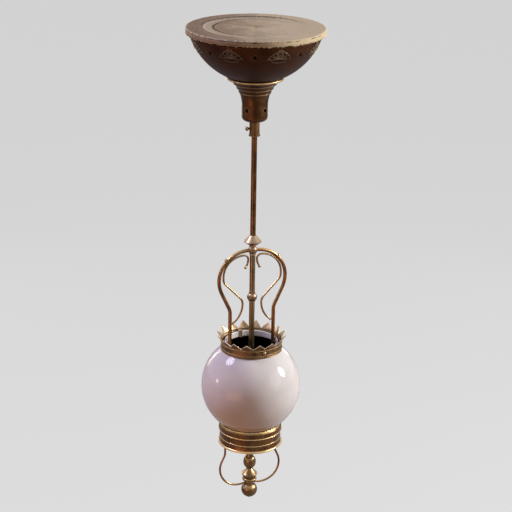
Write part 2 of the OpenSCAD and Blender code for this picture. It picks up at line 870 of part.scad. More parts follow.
// Candle lamp: a pointed glass, the turned shape between two large arcs, on a screw cap
module candle_lamp() {
    arc_r = (pow(lamp_l / 2, 2) + pow(lamp_r, 2)) / (2 * lamp_r);
    root_r = lamp_cap_r - 0.6;
    glass_mid_z = lamp_glass_z - lamp_l / 2;
    translate([lamp_x, 0, 0]) {
        rotate_extrude()
            intersection() {
                translate([lamp_r - arc_r, glass_mid_z])
                    circle(arc_r);
                translate([0, glass_mid_z - lamp_l / 2])
                    square([lamp_d, lamp_l]);
            }
        turned(root_r, root_r, lamp_glass_z - 8, lamp_glass_z - seat);
        turned(lamp_cap_r, lamp_cap_r, lamp_glass_z - seat, lamp_glass_z + 20);
        turned(3, 3, lamp_glass_z + 20, lamp_glass_z + 23);
    }
}

module lamp_left() {
    color(opal)
        mirror([1, 0, 0])
            candle_lamp();
}

module lamp_right() {
    color(opal)
        candle_lamp();
}

// A four-pointed star with hollow sides, pierced through the bowl along +X
module star_vent() {
    rotate([90, 0, 90])
        linear_extrude(bowl_r + 10)
            polygon([for (i = [0:7])
                let (r = i % 2 == 0 ? vent_w / 2 : vent_w * 0.19)
                [r * cos(i * 45), r * sin(i * 45)]]);
}

// Spun bowl: a slice of a spherical shell with star vents round its rim
module canopy_bowl() {
    vent_z = rim_z - vent_drop;
    vent_lean = asin((bowl_z - vent_z) / bowl_r);
    color(dark_bronze)
        difference() {
            rotate_extrude()
                intersection() {
                    translate([0, bowl_z])
                        ring_2d(bowl_r, bowl_r - bowl_wall);
                    translate([lip_x - 8, rim_z - bowl_depth])
                        square([bowl_r, bowl_depth]);
                }
            round_the_stem(vent_count, vent_turn)
                translate([0, 0, bowl_z])
                    rotate([0, vent_lean, 0])
                        star_vent();
        }
}

// Half outline of the neck cup, set in by t: flare, straight body and round corner
module cup_outline(t) {
    difference() {
        translate([0, flare_z])
            square([lip_x, flare_h]);
        translate([flare_x, flare_z])
            circle(flare_r + t);
    }
    translate([0, corner_z])
        square([cup_r - t, cup_h + eps]);
    translate([0, cup_z + t])
        square([cup_r - cup_corner_r, cup_corner_r]);
    intersection() {
        translate([cup_r - cup_corner_r, corner_z])
            circle(cup_corner_r - t);
        translate([0, cup_z])
            square([cup_d, cup_corner_r]);
    }
}

// The flare's radius at a height above the straight body
function flare_at(h) = flare_x - sqrt(pow(flare_r, 2) - pow(h, 2));

// Spun trumpet cup with a rolled lip, turned ridges and round vents
module neck_cup() {
    color(dark_bronze)
        difference() {
            rotate_extrude()
                difference() {
                    union() {
                        cup_outline(0);
                        translate([lip_x, lip_z])
                            circle(lip_r);
                        for (i = [0:ridge_count - 1])
                            translate([flare_at(flare_h - ridge_drop - i * ridge_step),
                                lip_z - ridge_drop - i * ridge_step])
                                circle(ridge_t / 2);
                    }
                    cup_outline(cup_wall);
                    translate([0, cup_z - 1])
                        square([spigot_r + thread_fit, flare_h]);
                    translate([0, lip_z])
                        square([lip_x - cup_wall, lip_t]);
                }
            round_the_stem(cup_vent_count, cup_vent_turn)
                translate([0, 0, cup_vent_z])
                    rotate([0, 90, 0])
                        cylinder(d = cup_vent_d, h = cup_d);
        }
}

// Spool that slides on the stem, with a threaded spigot that holds the cup
module slip_collar() {
    color(brass)
        difference() {
            union() {
                turned(collar_flange_r, collar_flange_r, cup_z - collar_flange_t, cup_z);
                turned(collar_r, collar_r, collar_z, cup_z);
                turned(collar_flange_r - 0.6, collar_flange_r - 0.6, collar_z, collar_z + collar_flange_t);
                turned(spigot_r, spigot_r, cup_z - eps, cup_z + spigot_h);
            }
            turned(stem_r + slide_fit, stem_r + slide_fit, collar_z - 1, cup_z + spigot_h + 1);
            translate([0, 0, thumb_z])
                rotate([0, -90, 0])
                    cylinder(r = thumb_r + thread_fit, h = collar_d);
        }
}

// Six-sided nut that pulls the cup down on the collar
module lock_nut() {
    nut_low_z = cup_z + cup_wall;
    color(brass)
        difference() {
            translate([0, 0, nut_low_z])
                cylinder(r = lock_nut_r, h = lock_nut_h, $fn = 6);
            turned(spigot_r + thread_fit, spigot_r + thread_fit, nut_low_z - 1, nut_low_z + lock_nut_h + 1);
        }
}

// Screw with a notched cone head that clamps the collar to the stem
module thumbscrew() {
    neck_l = 1.2;
    cone_start = collar_r + neck_l;
    cap_l = 2;
    notch_count = 10;
    color(brass)
        translate([0, 0, thumb_z])
            rotate([0, -90, 0])
                difference() {
                    union() {
                        turned(thumb_r, thumb_r, stem_r + slide_fit, cone_start + eps);
                        turned(thumb_r, thumb_head_d / 2, cone_start, cone_start + thumb_head_l);
                        turned(thumb_head_d / 2, thumb_r, cone_start + thumb_head_l,
                            cone_start + thumb_head_l + cap_l);
                    }
                    for (i = [0:notch_count - 1])
                        rotate([0, 0, i * 360 / notch_count])
                            translate([thumb_head_d / 2 + 0.4, 0, cone_start])
                                cylinder(d = 1.6, h = thumb_head_l + cap_l + 1);
                }
}

// Half outline of the globe, set in by t: a ball between two straight necks
module globe_outline(t) {
    intersection() {
        translate([0, globe_z])
            circle(globe_r - t);
        translate([0, globe_z - neck_root])
            square([globe_r + 1, 2 * neck_root]);
    }
    translate([0, foot_z])
        square([neck_r - t, neck_top_z - foot_z]);
}

module glass_globe() {
    color(opal)
        rotate_extrude()
            difference() {
                globe_outline(0);
                globe_outline(glass_t);
            }
}

// Half profile of the crown: rolled lower edge, band with beaded rows, leaning teeth
module crown_profile() {
    translate([crown_r, crown_z])
        circle(roll_r);
    translate([crown_r - crown_wall, crown_z])
        square([crown_wall, crown_h]);
    for (share = [0.24, 0.86])
        translate([crown_r, crown_z + crown_h * share])
            circle(row_t / 2);
    polygon([
        [crown_r - crown_wall, tooth_root_z],
        [crown_r, tooth_root_z],
        [crown_r + tooth_lean, tooth_root_z + tooth_h],
        [crown_r + tooth_lean - crown_wall, tooth_root_z + tooth_h]
    ]);
}

// The V between two teeth, cut outward along +X. Two neighbours meet at a tooth's tip.
module tooth_gap() {
    tip_r = crown_r + tooth_lean;
    half_w = tip_r * tan(180 / tooth_count);
    root_w = 0.8;
    rotate([90, 0, 90])
        linear_extrude(tip_r * 2)
            polygon([
                [-root_w, tooth_root_z + 0.5],
                [root_w, tooth_root_z + 0.5],
                [half_w, tooth_root_z + tooth_h],
                [half_w, tooth_root_z + 2 * tooth_h],
                [-half_w, tooth_root_z + 2 * tooth_h],
                [-half_w, tooth_root_z + tooth_h]
            ]);
}

module crown_ring() {
    color(brass)
        difference() {
            rotate_extrude()
                crown_profile();
            round_the_stem(tooth_count, crown_turn - 90)
                tooth_gap();
            at_clips()
                translate([0, 0, clip_screw_z])
                    rotate([0, 90, 0])
                        cylinder(d = clip_screw_d + 2 * thread_fit, h = crown_d);
        }
}

// The two places, opposite each other, where the crown is clipped to the glass
module at_clips() {
    round_the_stem(2, crown_turn - 90)
        children();
}

// Bent strip: down the band's inside, over the glass rim and down inside the neck
module crown_clips() {
    leg_z = clip_screw_z - clip_w / 2;
    color(brass)
        at_clips()
            difference() {
                translate([0, clip_w / 2, 0])
                    rotate([90, 0, 0])
                        linear_extrude(clip_w)
                            union() {
                                translate([clip_out_r - clip_t, leg_z])
                                    square([clip_t, clip_top_z + clip_t - leg_z]);
                                translate([clip_in_r - clip_t, clip_top_z])
                                    square([clip_out_r - clip_in_r + clip_t, clip_t]);
                                translate([clip_in_r - clip_t, clip_top_z - clip_leg])
                                    square([clip_t, clip_leg + clip_t]);
                            }
                translate([neck_r, 0, clip_screw_z])
                    rotate([0, 90, 0])
                        cylinder(d = clip_screw_d + 2 * thread_fit, h = crown_r);
            }
}

module clip_screws() {
    tail = 3.4;
    color(brass)
        at_clips()
            translate([crown_r + eps, 0, clip_screw_z])
                rotate([0, 90, 0]) {
                    round_head(clip_head_d, 2.4);
                    translate([0, 0, -tail])
                        cylinder(d = clip_screw_d, h = tail + eps);
                }
}

// The gallery's shell: lip, shoulder and band, middle ring, wall, step, flared skirt, foot ring
module gallery_shell() {
    shoulder_z = gallery_lip_z - 4;
    rotate_extrude()
        translate([gallery_lip_x, gallery_lip_z])
            circle(gallery_roll_r);
    rotate_extrude()
        polygon([
            [gallery_lip_x - 0.5, gallery_lip_z],
            [gallery_lip_x + 0.7, gallery_lip_z - 0.2],
            [gallery_band_r, shoulder_z],
            [gallery_band_r, gallery_ring_z - 0.4],
            [gallery_band_r - gallery_wall, gallery_ring_z - 0.4],
            [gallery_band_r - gallery_wall, shoulder_z - 0.8]
        ]);
    rotate_extrude()
        rolled_edge(gallery_wall_r - gallery_wall - 0.2, gallery_ring_r, gallery_ring_z, gallery_lip_t);
    tube(gallery_wall_r, gallery_wall_r - gallery_wall, gallery_step_z - 0.3, gallery_ring_z + 0.3);
    rotate_extrude()
        rolled_edge(gallery_wall_r - 1, gallery_wall_r + 0.9, gallery_step_z, 1.6);
    rotate_extrude()
        intersection() {
            translate([gallery_wall_r + cove_r, gallery_step_z])
                ring_2d(cove_r + gallery_wall, cove_r);
            translate([gallery_wall_r - 2, gallery_foot_z])
                square([cove_w + 2, cove_h]);
        }
    rotate_extrude()
        translate([gallery_foot_x, gallery_foot_z])
            circle(gallery_roll_w / 2);
    tube(gallery_wall_r - 0.3, thread_r + slide_fit, under_z, floor_z);
}

module gallery() {
    color(brass)
        difference() {
            gallery_shell();
            for (side = [-1, 1])
                translate([side * loop_foot_x, 0, under_z - 1])
                    cylinder(r = loop_r - 0.6 + thread_fit, h = gallery_wall + 2);
        }
}

module felt_ring() {
    color([0.25, 0.33, 0.24])
        tube(neck_r + 1.2, neck_in_r - 1.2, floor_z, foot_z - eps);
}

// Turned column: collar, stem, round bulb, hollow curve, disc, saucer and ring
module finial_spindle() {
    saucer_z = disc_z - disc_t / 2 - saucer_h;
    color(brass)
        difference() {
            union() {
                turned(finial_stem_r + 4, finial_stem_r + 4, under_z - 3, under_z);
                turned(finial_stem_r, finial_stem_r, disc_z, under_z);
                translate([0, 0, bulb_z])
                    sphere(bulb_r);
                rotate_extrude()
                    difference() {
                        translate([2, ogee_z - ogee_h - eps])
                            square([finial_stem_r + ogee_w - 2, ogee_h + eps]);
                        translate([finial_stem_r - eps + ogee_r, ogee_z])
                            circle(ogee_r);
                    }
                rotate_extrude()
                    rolled_edge(2, disc_r, disc_z, disc_t);
                turned(disc_r - 3.4, disc_r - disc_t, saucer_z, disc_z);
                turned(ring_r - 2.6, ring_r - 2.6, ring_z - eps, saucer_z + eps);
                rotate_extrude()
                    rolled_edge(2, ring_r, ring_z - ring_h / 2, ring_h);
                turned(ring_r - 5, ring_r - 5, spindle_z, ring_z - eps);
            }
            turned(thread_r + slide_fit, thread_r + slide_fit, spindle_z - 1, under_z + 1);
        }
}

// The right-hand loop: down from the gallery floor, out, and round to its collar. A pin
// at its upper end is riveted in the floor.
module wire_loop(r, pin_r) {
    translate([loop_foot_x, 0, under_z])
        rotate([0, 90, 0])
            bent_bar(LOOP_STEPS, r);
    translate([loop_foot_x, 0, under_z - eps])
        cylinder(r = pin_r, h = gallery_wall + eps);
}

module loop_left() {
    color(brass)
        mirror([1, 0, 0])
            wire_loop(loop_r, loop_r - 0.6);
}

module loop_right() {
    color(brass)
        wire_loop(loop_r, loop_r - 0.6);
}

// Ring that both loops end in
module loop_collar() {
    color(brass)
        difference() {
            turned(loop_collar_r, loop_collar_r, loop_collar_z, spindle_z);
            turned(thread_r + slide_fit, thread_r + slide_fit, loop_collar_z - 1, spindle_z + 1);
            for (side = [0, 1])
                mirror([side, 0, 0])
                    translate([loop_collar_r - loop_seat, 0, loop_collar_z + loop_collar_h / 2])
                        rotate([0, 90 + loop_rise, 0])
                            translate([0, 0, -thread_fit])
                                cylinder(r = loop_r + sleeve + thread_fit, h = loop_collar_r);
        }
}

module nut_washer() {
    color(brass)
        tube(nut_flat_r - 1.2, thread_r + slide_fit, washer_z, washer_z + washer_t);
}

// Ball that screws on the rod's end and carries the whole lower part
module ball_nut() {
    tip_d = 5;
    color(brass)
        difference() {
            union() {
                intersection() {
                    translate([0, 0, nut_z])
                        sphere(nut_r);
                    turned(nut_r + 1, nut_r + 1, nut_z - nut_r - 1, washer_z - slide_fit);
                }
                translate([0, 0, nut_z - nut_r])
                    sphere(d = tip_d);
            }
            turned(thread_r + slide_fit, thread_r + slide_fit, nut_bore_z, washer_z + 1);
        }
}

ceiling_block();
ceiling_flange();
flange_screws();
socket_cap();
swivel_ball();
stem_tube();
double_cone();
hub_ball();
arm_left();
arm_right();
scroll_left();
scroll_right();
scroll_screws();
centre_rod();
rod_bead();
lampholder_left();
lampholder_right();
lamp_left();
lamp_right();
canopy_bowl();
neck_cup();
slip_collar();
lock_nut();
thumbscrew();
glass_globe();
crown_ring();
crown_clips();
clip_screws();
gallery();
felt_ring();
finial_spindle();
loop_left();
loop_right();
loop_collar();
nut_washer();
ball_nut();
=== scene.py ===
"""Dresses a hall pendant light: a painted block, a bronze bowl, a brass stem and harp, an opal globe
held in its crown and gallery, and a turned finial."""
import math

import bpy
import numpy as np
from mathutils import Matrix, Vector


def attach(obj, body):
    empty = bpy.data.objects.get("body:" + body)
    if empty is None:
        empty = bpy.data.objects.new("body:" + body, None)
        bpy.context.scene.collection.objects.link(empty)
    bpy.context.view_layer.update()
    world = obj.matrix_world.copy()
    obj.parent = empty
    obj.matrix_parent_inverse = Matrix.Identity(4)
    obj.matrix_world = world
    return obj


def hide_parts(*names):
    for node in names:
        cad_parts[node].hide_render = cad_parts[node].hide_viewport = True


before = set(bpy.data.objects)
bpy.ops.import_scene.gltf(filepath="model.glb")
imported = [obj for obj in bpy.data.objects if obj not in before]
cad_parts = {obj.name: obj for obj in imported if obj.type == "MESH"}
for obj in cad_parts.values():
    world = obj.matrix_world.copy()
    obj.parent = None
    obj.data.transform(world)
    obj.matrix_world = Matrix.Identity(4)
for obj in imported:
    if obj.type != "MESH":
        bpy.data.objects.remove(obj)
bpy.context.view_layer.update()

# The room: a pale floor under the light, a big soft window to its right, a weak cool one up on the left,
# and fainter lamps round about that put edges of light on the brass. The camera stands 0.6 m above the
# ceiling block's top and three metres off, with a long lens. Places here are in metres.
FRONT = math.radians(-20.0)
STAND_OFF = 3.010
EYE_HEIGHT = 0.6125
LOOK_DOWN = math.radians(19.55)
LOOK_ASIDE = math.radians(-0.12)
CAMERA_ROLL = math.radians(0.85)
FOCAL_LENGTH = 113.9
SENSOR_W = 36.0
FAR_CLIP = 100.0
MIDDLE_Z = -0.5
camera_data = bpy.data.cameras.new("long_lens")
camera_data.lens = FOCAL_LENGTH
camera_data.sensor_width = SENSOR_W
camera_data.clip_end = FAR_CLIP
camera = bpy.data.objects.new("long_lens", camera_data)
bpy.context.collection.objects.link(camera)
camera.matrix_world = (
    Matrix.Translation((math.sin(FRONT) * STAND_OFF, -math.cos(FRONT) * STAND_OFF, EYE_HEIGHT))
    @ Matrix.Rotation(FRONT, 4, "Z")
    @ Matrix.Rotation(math.pi / 2 - LOOK_DOWN, 4, "X")
    @ Matrix.Rotation(LOOK_ASIDE, 4, "Y")
    @ Matrix.Rotation(CAMERA_ROLL, 4, "Z")
)
bpy.context.scene.camera = camera


def from_camera(sideways, towards, up):
    """A place in the room in steps to the camera's right, towards it, and up from the light's middle."""
    return (
        math.cos(FRONT) * sideways + math.sin(FRONT) * towards,
        math.sin(FRONT) * sideways - math.cos(FRONT) * towards,
        up + MIDDLE_Z,
    )


def soft_window(name, place, width, height, watts, colour):
    """A soft oval lamp at a place, turned so that it faces the middle of the pendant."""
    lamp_data = bpy.data.lights.new(name, "AREA")
    lamp_data.shape = "ELLIPSE"
    lamp_data.size = width
    lamp_data.size_y = height
    lamp_data.energy = watts
    lamp_data.color = colour
    window = bpy.data.objects.new(name, lamp_data)
    bpy.context.collection.objects.link(window)
    window.location = place
    aim = Vector((0, 0, MIDDLE_Z)) - window.location
    window.rotation_euler = aim.to_track_quat("-Z", "Y").to_euler()


for lamp in (
    # name, place as steps from the light's middle, width, height, watts, colour
    ("window_right", from_camera(2.63, -0.05, 0.97), 0.7, 0.95, 74.0, (1.0, 0.97, 0.93)),
    ("wall_right", from_camera(2.3, 1.1, 0.7), 1.5, 1.5, 14.0, (1.0, 0.97, 0.94)),
    ("window_left", from_camera(-1.62, -0.1, 1.66), 0.82, 0.82, 34.0, (0.78, 0.73, 1.0)),
    ("far_left", from_camera(-2.6, 0.23, 0.1), 0.3, 0.25, 4.0, (1.0, 0.86, 0.88)),
    ("warm_corner", from_camera(-1.0, 1.3, -0.5), 1.2, 0.6, 4.6, (1.0, 0.42, 0.15)),
    ("warm_edge", from_camera(-1.7, -2.5, 0.05), 0.4, 1.3, 7.0, (1.0, 0.84, 0.62)),
    ("edge_right", from_camera(1.2, -2.7, 0.1), 0.25, 1.1, 3.0, (1.0, 0.98, 0.95)),
):
    soft_window(*lamp)


def shader_node(tree, kind, sockets=None, **settings):
    """Adds a node, sets its settings, and fills each named or numbered socket with a value or a link."""
    made = tree.nodes.new(kind)
    for name, value in settings.items():
        setattr(made, name, value)
    for name, value in (sockets or {}).items():
        if isinstance(value, bpy.types.NodeSocket):
            tree.links.new(value, made.inputs[name])
        else:
            made.inputs[name].default_value = value
    return made


def srgb(red, green, blue):
    """A colour as read off a screen, 0 to 255, turned into the linear values that shaders use."""
    screen = np.array([red, green, blue]) / 255.0
    linear = np.where(screen <= 0.04045, screen / 12.92, ((screen + 0.055) / 1.055) ** 2.4)
    return (*linear.tolist(), 1.0)


def seen_by(tree, rays, first, *others):
    """Goes to 1 for rays of any of the named kinds, and stays 0 for the rest."""
    share = rays[first]
    for kind in others:
        either = shader_node(tree, "ShaderNodeMath", {0: share, 1: rays[kind]}, operation="MAXIMUM")
        share = either.outputs[0]
    return share


def mix_shaders(tree, share, first, second):
    """Goes from the first shader to the second as the share goes from 0 to 1."""
    return shader_node(tree, "ShaderNodeMixShader", {0: share, 1: first.outputs[0], 2: second.outputs[0]})


# The room is dim and cool where it lights the pendant, and plain pale where the camera or a shiny
# surface sees it.
ROOM_COLOUR = (0.88, 0.85, 1.0, 1.0)
ROOM_STRENGTH = 0.11
world = bpy.data.worlds.new("pale_room")
world.use_nodes = True
world_tree = world.node_tree
world_tree.nodes.clear()
rays = shader_node(world_tree, "ShaderNodeLightPath").outputs
seen = seen_by(world_tree, rays, "Is Camera Ray", "Is Glossy Ray", "Is Transmission Ray")
dim = shader_node(world_tree, "ShaderNodeBackground", {"Color": ROOM_COLOUR, "Strength": ROOM_STRENGTH})
pale = shader_node(world_tree, "ShaderNodeBackground", {"Color": srgb(226, 226, 226), "Strength": 1.0})
both = mix_shaders(world_tree, seen, dim, pale)
shader_node(world_tree, "ShaderNodeOutputWorld", {"Surface": both.outputs[0]})
bpy.context.scene.world = world
bpy.context.scene.view_settings.view_transform = "Standard"

# The floor glows a little for the camera alone, so it stays pale round the pendant's shadow. What it
# bounces back up is warm, as off a brown floor, and from below it is see-through.
FLOOR_R = 18.0
FLOOR_Z = -1.42
FLOOR_CORNERS = 96
FLOOR_GLOW = 0.8


def round_turns(count):
    """Even turns round a circle. The last isn't the first again, because a ring closes by itself."""
    return np.linspace(0, 2 * np.pi, count + 1)[:-1]


def blend_colour(tree, share, first, second):
    """Goes from the first colour to the second as the share goes from 0 to 1. The node takes its
    colours in sockets 6 and 7, and gives the blend in output 2."""
    sockets = {0: share, 6: first, 7: second}
    return shader_node(tree, "ShaderNodeMix", sockets, data_type="RGBA").outputs[2]


floor_mesh = bpy.data.meshes.new("floor")
around = round_turns(FLOOR_CORNERS)
floor_height = np.full(FLOOR_CORNERS, FLOOR_Z)
floor_rim = np.stack([np.cos(around) * FLOOR_R, np.sin(around) * FLOOR_R, floor_height], axis=1)
floor_mesh.from_pydata(floor_rim.tolist(), [], [list(range(FLOOR_CORNERS))])
floor = bpy.data.objects.new("floor", floor_mesh)
bpy.context.collection.objects.link(floor)
floor_paint = bpy.data.materials.new("floor_paint")
floor_paint.use_nodes = True
floor_tree = floor_paint.node_tree
floor_tree.nodes.clear()
rays = shader_node(floor_tree, "ShaderNodeLightPath").outputs
seen = seen_by(floor_tree, rays, "Is Camera Ray", "Is Glossy Ray")
bounce = blend_colour(floor_tree, seen, srgb(118, 84, 58), srgb(205, 205, 205))
matt = shader_node(floor_tree, "ShaderNodeBsdfDiffuse", {"Color": bounce})
lift = shader_node(floor_tree, "ShaderNodeEmission", {"Color": srgb(230, 230, 230), "Strength": 1.0})
glow = {0: rays["Is Camera Ray"], 1: FLOOR_GLOW}
glow = shader_node(floor_tree, "ShaderNodeMath", glow, operation="MULTIPLY").outputs[0]
both = mix_shaders(floor_tree, glow, matt, lift)
from_under = shader_node(floor_tree, "ShaderNodeNewGeometry").outputs["Backfacing"]
both = mix_shaders(floor_tree, from_under, both, shader_node(floor_tree, "ShaderNodeBsdfTransparent"))
shader_node(floor_tree, "ShaderNodeOutputMaterial", {"Surface": both.outputs[0]})
floor_mesh.materials.append(floor_paint)

# The ceiling block: a turned wooden disc under thick cream paint. Its top is sunk in the middle,
# the paint has cracked along the edge and crumbled away below, and its screw holes go right through.
BLOCK_R = 132.9
BLOCK_TURNS = 900
SUNK_R = 100.0
TOP_EDGE_Z = -1.5
CRUMBLE_DEPTH = 1.5
SCREW_CIRCLE_R = 110.0
SCREW_HOLE_R = 2.3
LEAD_HOLE_R = 3.0
HOLE_LOW_Z = -30.0
HOLE_HIGH_Z = 5.0
MM = 0.001


def ripple(turns, slowest, fastest, seed):
    """A seeded sum of cosines round a circle, one for each whole number of waves, about -1 to 1 high."""
    waves = np.arange(slowest, fastest + 1)
    chance = np.random.default_rng(seed)
    weights = chance.uniform(0.3, 1.0, waves.size)
    shifts = chance.uniform(0, 2 * np.pi, waves.size)
    return np.cos(np.outer(turns, waves) + shifts) @ weights / np.sqrt(np.sum(weights**2)) / 1.6


def grid_mesh(name, places, loop_rows=False, poles=False, marks=None):
    """A mesh from places[row, column, xyz] in millimetres. Columns close into a ring. Rows close too
    where loop_rows is set, or else the first and last row shrink to a point each where poles is set.
    Marks are named numbers for each place, kept as point attributes for the materials."""
    rows, columns = places.shape[:2]
    flat = places.reshape(-1, 3)
    index = np.arange(rows * columns).reshape(rows, columns)
    if poles:
        flat = np.vstack([flat[:1], flat[columns:-columns], flat[-1:]])
        index = np.maximum(index - columns + 1, 0)
        index[-1] = len(flat) - 1
    ahead = np.roll(index, -1, axis=1)
    below = np.roll(index, -1, axis=0) if loop_rows else index[1:]
    ahead_below = np.roll(ahead, -1, axis=0) if loop_rows else ahead[1:]
    index, ahead = (index, ahead) if loop_rows else (index[:-1], ahead[:-1])
    quads = np.stack([index, below, ahead_below, ahead], axis=-1).reshape(-1, 4)
    faces = [tuple(dict.fromkeys(corner)) for corner in quads.tolist()]
    mesh = bpy.data.meshes.new(name)
    mesh.from_pydata((flat * MM).tolist(), [], faces)
    mesh.polygons.foreach_set("use_smooth", np.ones(len(faces), dtype=bool))
    for mark, values in (marks or {}).items():
        values = values.reshape(-1)
        if poles:
            values = np.concatenate([values[:1], values[columns:-columns], values[-1:]])
        mesh.attributes.new(mark, "FLOAT", "POINT").data.foreach_set("value", values.astype(np.float32))
    mesh.validate()
    piece = bpy.data.objects.new(name, mesh)
    bpy.context.collection.objects.link(piece)
    return piece


def lathe(radii, heights, turns):
    """Places on a turned surface: every profile point (radius, height) carried round the Z axis."""
    return np.stack(np.broadcast_arrays(radii * np.cos(turns), radii * np.sin(turns), heights), axis=-1)


# The profile is carried round the axis, and at each turn the crack and the dents draw it in and the
# crumbling draws it down, each by its own ripple times the profile point's share of it.
block_turns = round_turns(BLOCK_TURNS)
crumble = np.clip(ripple(block_turns, 14, 150, 3) + 0.15, -0.35, 1.0)
crack = np.clip(ripple(block_turns, 4, 46, 11) + 0.45, 0.0, 1.0)
dent = np.clip(ripple(block_turns, 30, 190, 8), -1.0, 0.6)
block_profile = np.array([
    # radius, height, crumble down, crack in, dent in, grime and painted shade, painted highlight and chips,
    # painted shadow on the far side
    [0.0, -1.0, 0, 0, 0, 0.1, 0, 0], [20.0, -1.0, 0, 0, 0, 0.1, 0, 0], [45.0, -1.0, 0, 0, 0, 0.1, 0, 0],
    [66.0, -1.0, 0, 0, 0, 0.15, 0, 0], [78.0, -1.02, 0, 0, 0, 0.3, 0, 0],
    [81.4, -1.0, 0, 0, 0, 0.75, 0, 0], [82.6, -0.93, 0, 0, 0, 0.35, 0.3, 0],
    [88.0, -0.66, 0, 0, 0, 0.05, 0.35, 0.2], [94.0, -0.32, 0, 0, 0, 0.0, 0.35, 0.5],
    [99.2, -0.06, 0, 0, 0, 0.0, 0.5, 0.9], [100.8, 0.0, 0, 0, 0, 0.25, 0, 0.9],
    [108.0, 0.0, 0, 0, 0, 0.3, 0, 0], [118.0, 0.0, 0, 0, 0, 0.35, 0, 0],
    [127.0, -0.02, 0, 0, 0, 0.35, 0, 0], [130.2, -0.06, 0, 0, 0.2, 0.2, 0.2, 0],
    [131.5, -0.2, 0, 0, 0.45, 0, 0.9, 0], [132.3, -0.7, 0, 0, 0.5, 0, 1.0, 0],
    [132.75, -1.5, 0, 0, 0.4, 0, 0.8, 0], [132.8, -2.2, 0, 0.1, 0.3, 0.1, 0.2, 0],
    [132.75, -2.7, 0, 0.6, 0, 0.9, 0, 0], [132.7, -3.1, 0, 1.3, 0, 1.2, 0, 0],
    [132.75, -3.5, 0, 0.6, 0, 0.9, 0, 0], [132.85, -4.1, 0, 0, 0.2, 0.1, 0.4, 0],
    [132.9, -5.8, 0, 0, 0.15, 0, 0.1, 0], [132.9, -7.6, 0, 0, 0.15, 0.05, 0.1, 0],
    [132.85, -9.2, 0.35, 0, 0.2, 0.05, 0.2, 0], [132.75, -10.2, 0.8, 0, 0.35, 0.0, 0.8, 0],
    [132.3, -10.8, 1.2, 0, 0.5, 0.1, 0.9, 0], [131.6, -10.9, 1.1, 0, 0.4, 0.8, 0.1, 0],
    [130.9, -10.8, 0.7, 0, 0.2, 1.1, 0, 0], [129.6, -10.7, 0.2, 0, 0, 1.2, 0, 0],
    [122.0, -10.8, 0, 0, 0, 1.1, 0, 0], [118.6, -10.9, 0, 0, 0, 1.0, 0, 0],
    [118.0, -11.5, 0, 0, 0, 1.0, 0, 0], [118.0, -20.3, 0, 0, 0, 0.9, 0, 0],
    [117.3, -21.0, 0, 0, 0, 0.9, 0, 0], [70.0, -21.0, 0, 0, 0, 0.8, 0, 0],
    [30.0, -21.0, 0, 0, 0, 0.8, 0, 0], [0.0, -21.0, 0, 0, 0, 0.8, 0, 0],
])[:, :, None]
ring_r, ring_z, crumble_down, crack_in, dent_in, dirt_and_shade, bright, far_shadow = block_profile.transpose(1, 0, 2)
block_r = np.minimum(ring_r - crack_in * crack - dent_in * np.clip(-dent, 0, 1), BLOCK_R)
block_z = ring_z - crumble_down * crumble * CRUMBLE_DEPTH
# The top's grime is partly painted shade, darker on the left, away from the right-hand window. The far side
# of the sunk top gets a painted shadow, and the underside painted shade. The sunk slope's bright mark is a
# painted highlight, strongest on the left; on the edges it marks chips and wear.
left_side = 0.5 - 0.5 * np.cos(block_turns - FRONT)
far_side = 0.5 + 0.5 * np.sin(block_turns - FRONT)
on_top = ring_z > TOP_EDGE_Z
dirt_and_shade_share = np.where(crack_in > 0, crack, 1.0) * np.where(on_top, 0.35 + 1.3 * left_side, 1.0)
block_dirt_and_shade = np.clip(dirt_and_shade * dirt_and_shade_share + far_shadow * far_side**2, 0, 1.2)
lit_slope_and_chip_share = np.where(on_top & (ring_r < SUNK_R), 0.4 + left_side, np.clip(0.55 + dent, 0, 1.2))
block_lit_slope_and_chips = bright * lit_slope_and_chip_share
block_places = lathe(block_r, block_z, block_turns)
block_marks = {"dirt_and_shade": block_dirt_and_shade, "bright": block_lit_slope_and_chips}
block = grid_mesh("painted_block", block_places, poles=True, marks=block_marks)


def cut_away(piece, cutter):
    """Cuts the closed cutter out of a piece and throws the cutter away."""
    cut = piece.modifiers.new("cut", "BOOLEAN")
    cut.operation = "DIFFERENCE"
    cut.solver = "EXACT"
    cut.object = cutter
    bpy.context.view_layer.update()
    whole = bpy.data.meshes.new_from_object(piece.evaluated_get(bpy.context.evaluated_depsgraph_get()))
    piece.modifiers.clear()
    piece.data = whole
    bpy.data.objects.remove(cutter)


def bored(piece, holes):
    """Cuts round holes along Z through a piece. Each hole is x, y, radius, low and high, in millimetres."""
    ring = round_turns(32)
    for x, y, radius, low, high in holes:
        radii = np.array([0, radius, radius, 0])[:, None]
        heights = np.array([high, high, low, low])[:, None]
        cut_away(piece, grid_mesh("cutter", lathe(radii, heights, ring) + np.array([x, y, 0]), poles=True))


screw_ways = np.radians([45, 135, 225, 315])
block_holes = [
    (SCREW_CIRCLE_R * math.cos(way), SCREW_CIRCLE_R * math.sin(way), SCREW_HOLE_R, HOLE_LOW_Z, HOLE_HIGH_Z)
    for way in screw_ways
]
block_holes.append((0, 0, LEAD_HOLE_R, HOLE_LOW_Z, HOLE_HIGH_Z))
bored(block, block_holes)


def new_material(name):
    """A new node material, its tree, and the object coordinates, which are all that the tree holds yet."""
    material = bpy.data.materials.new(name)
    material.use_nodes = True
    tree = material.node_tree
    tree.nodes.clear()
    place = shader_node(tree, "ShaderNodeTexCoord").outputs["Object"]
    return material, tree, place


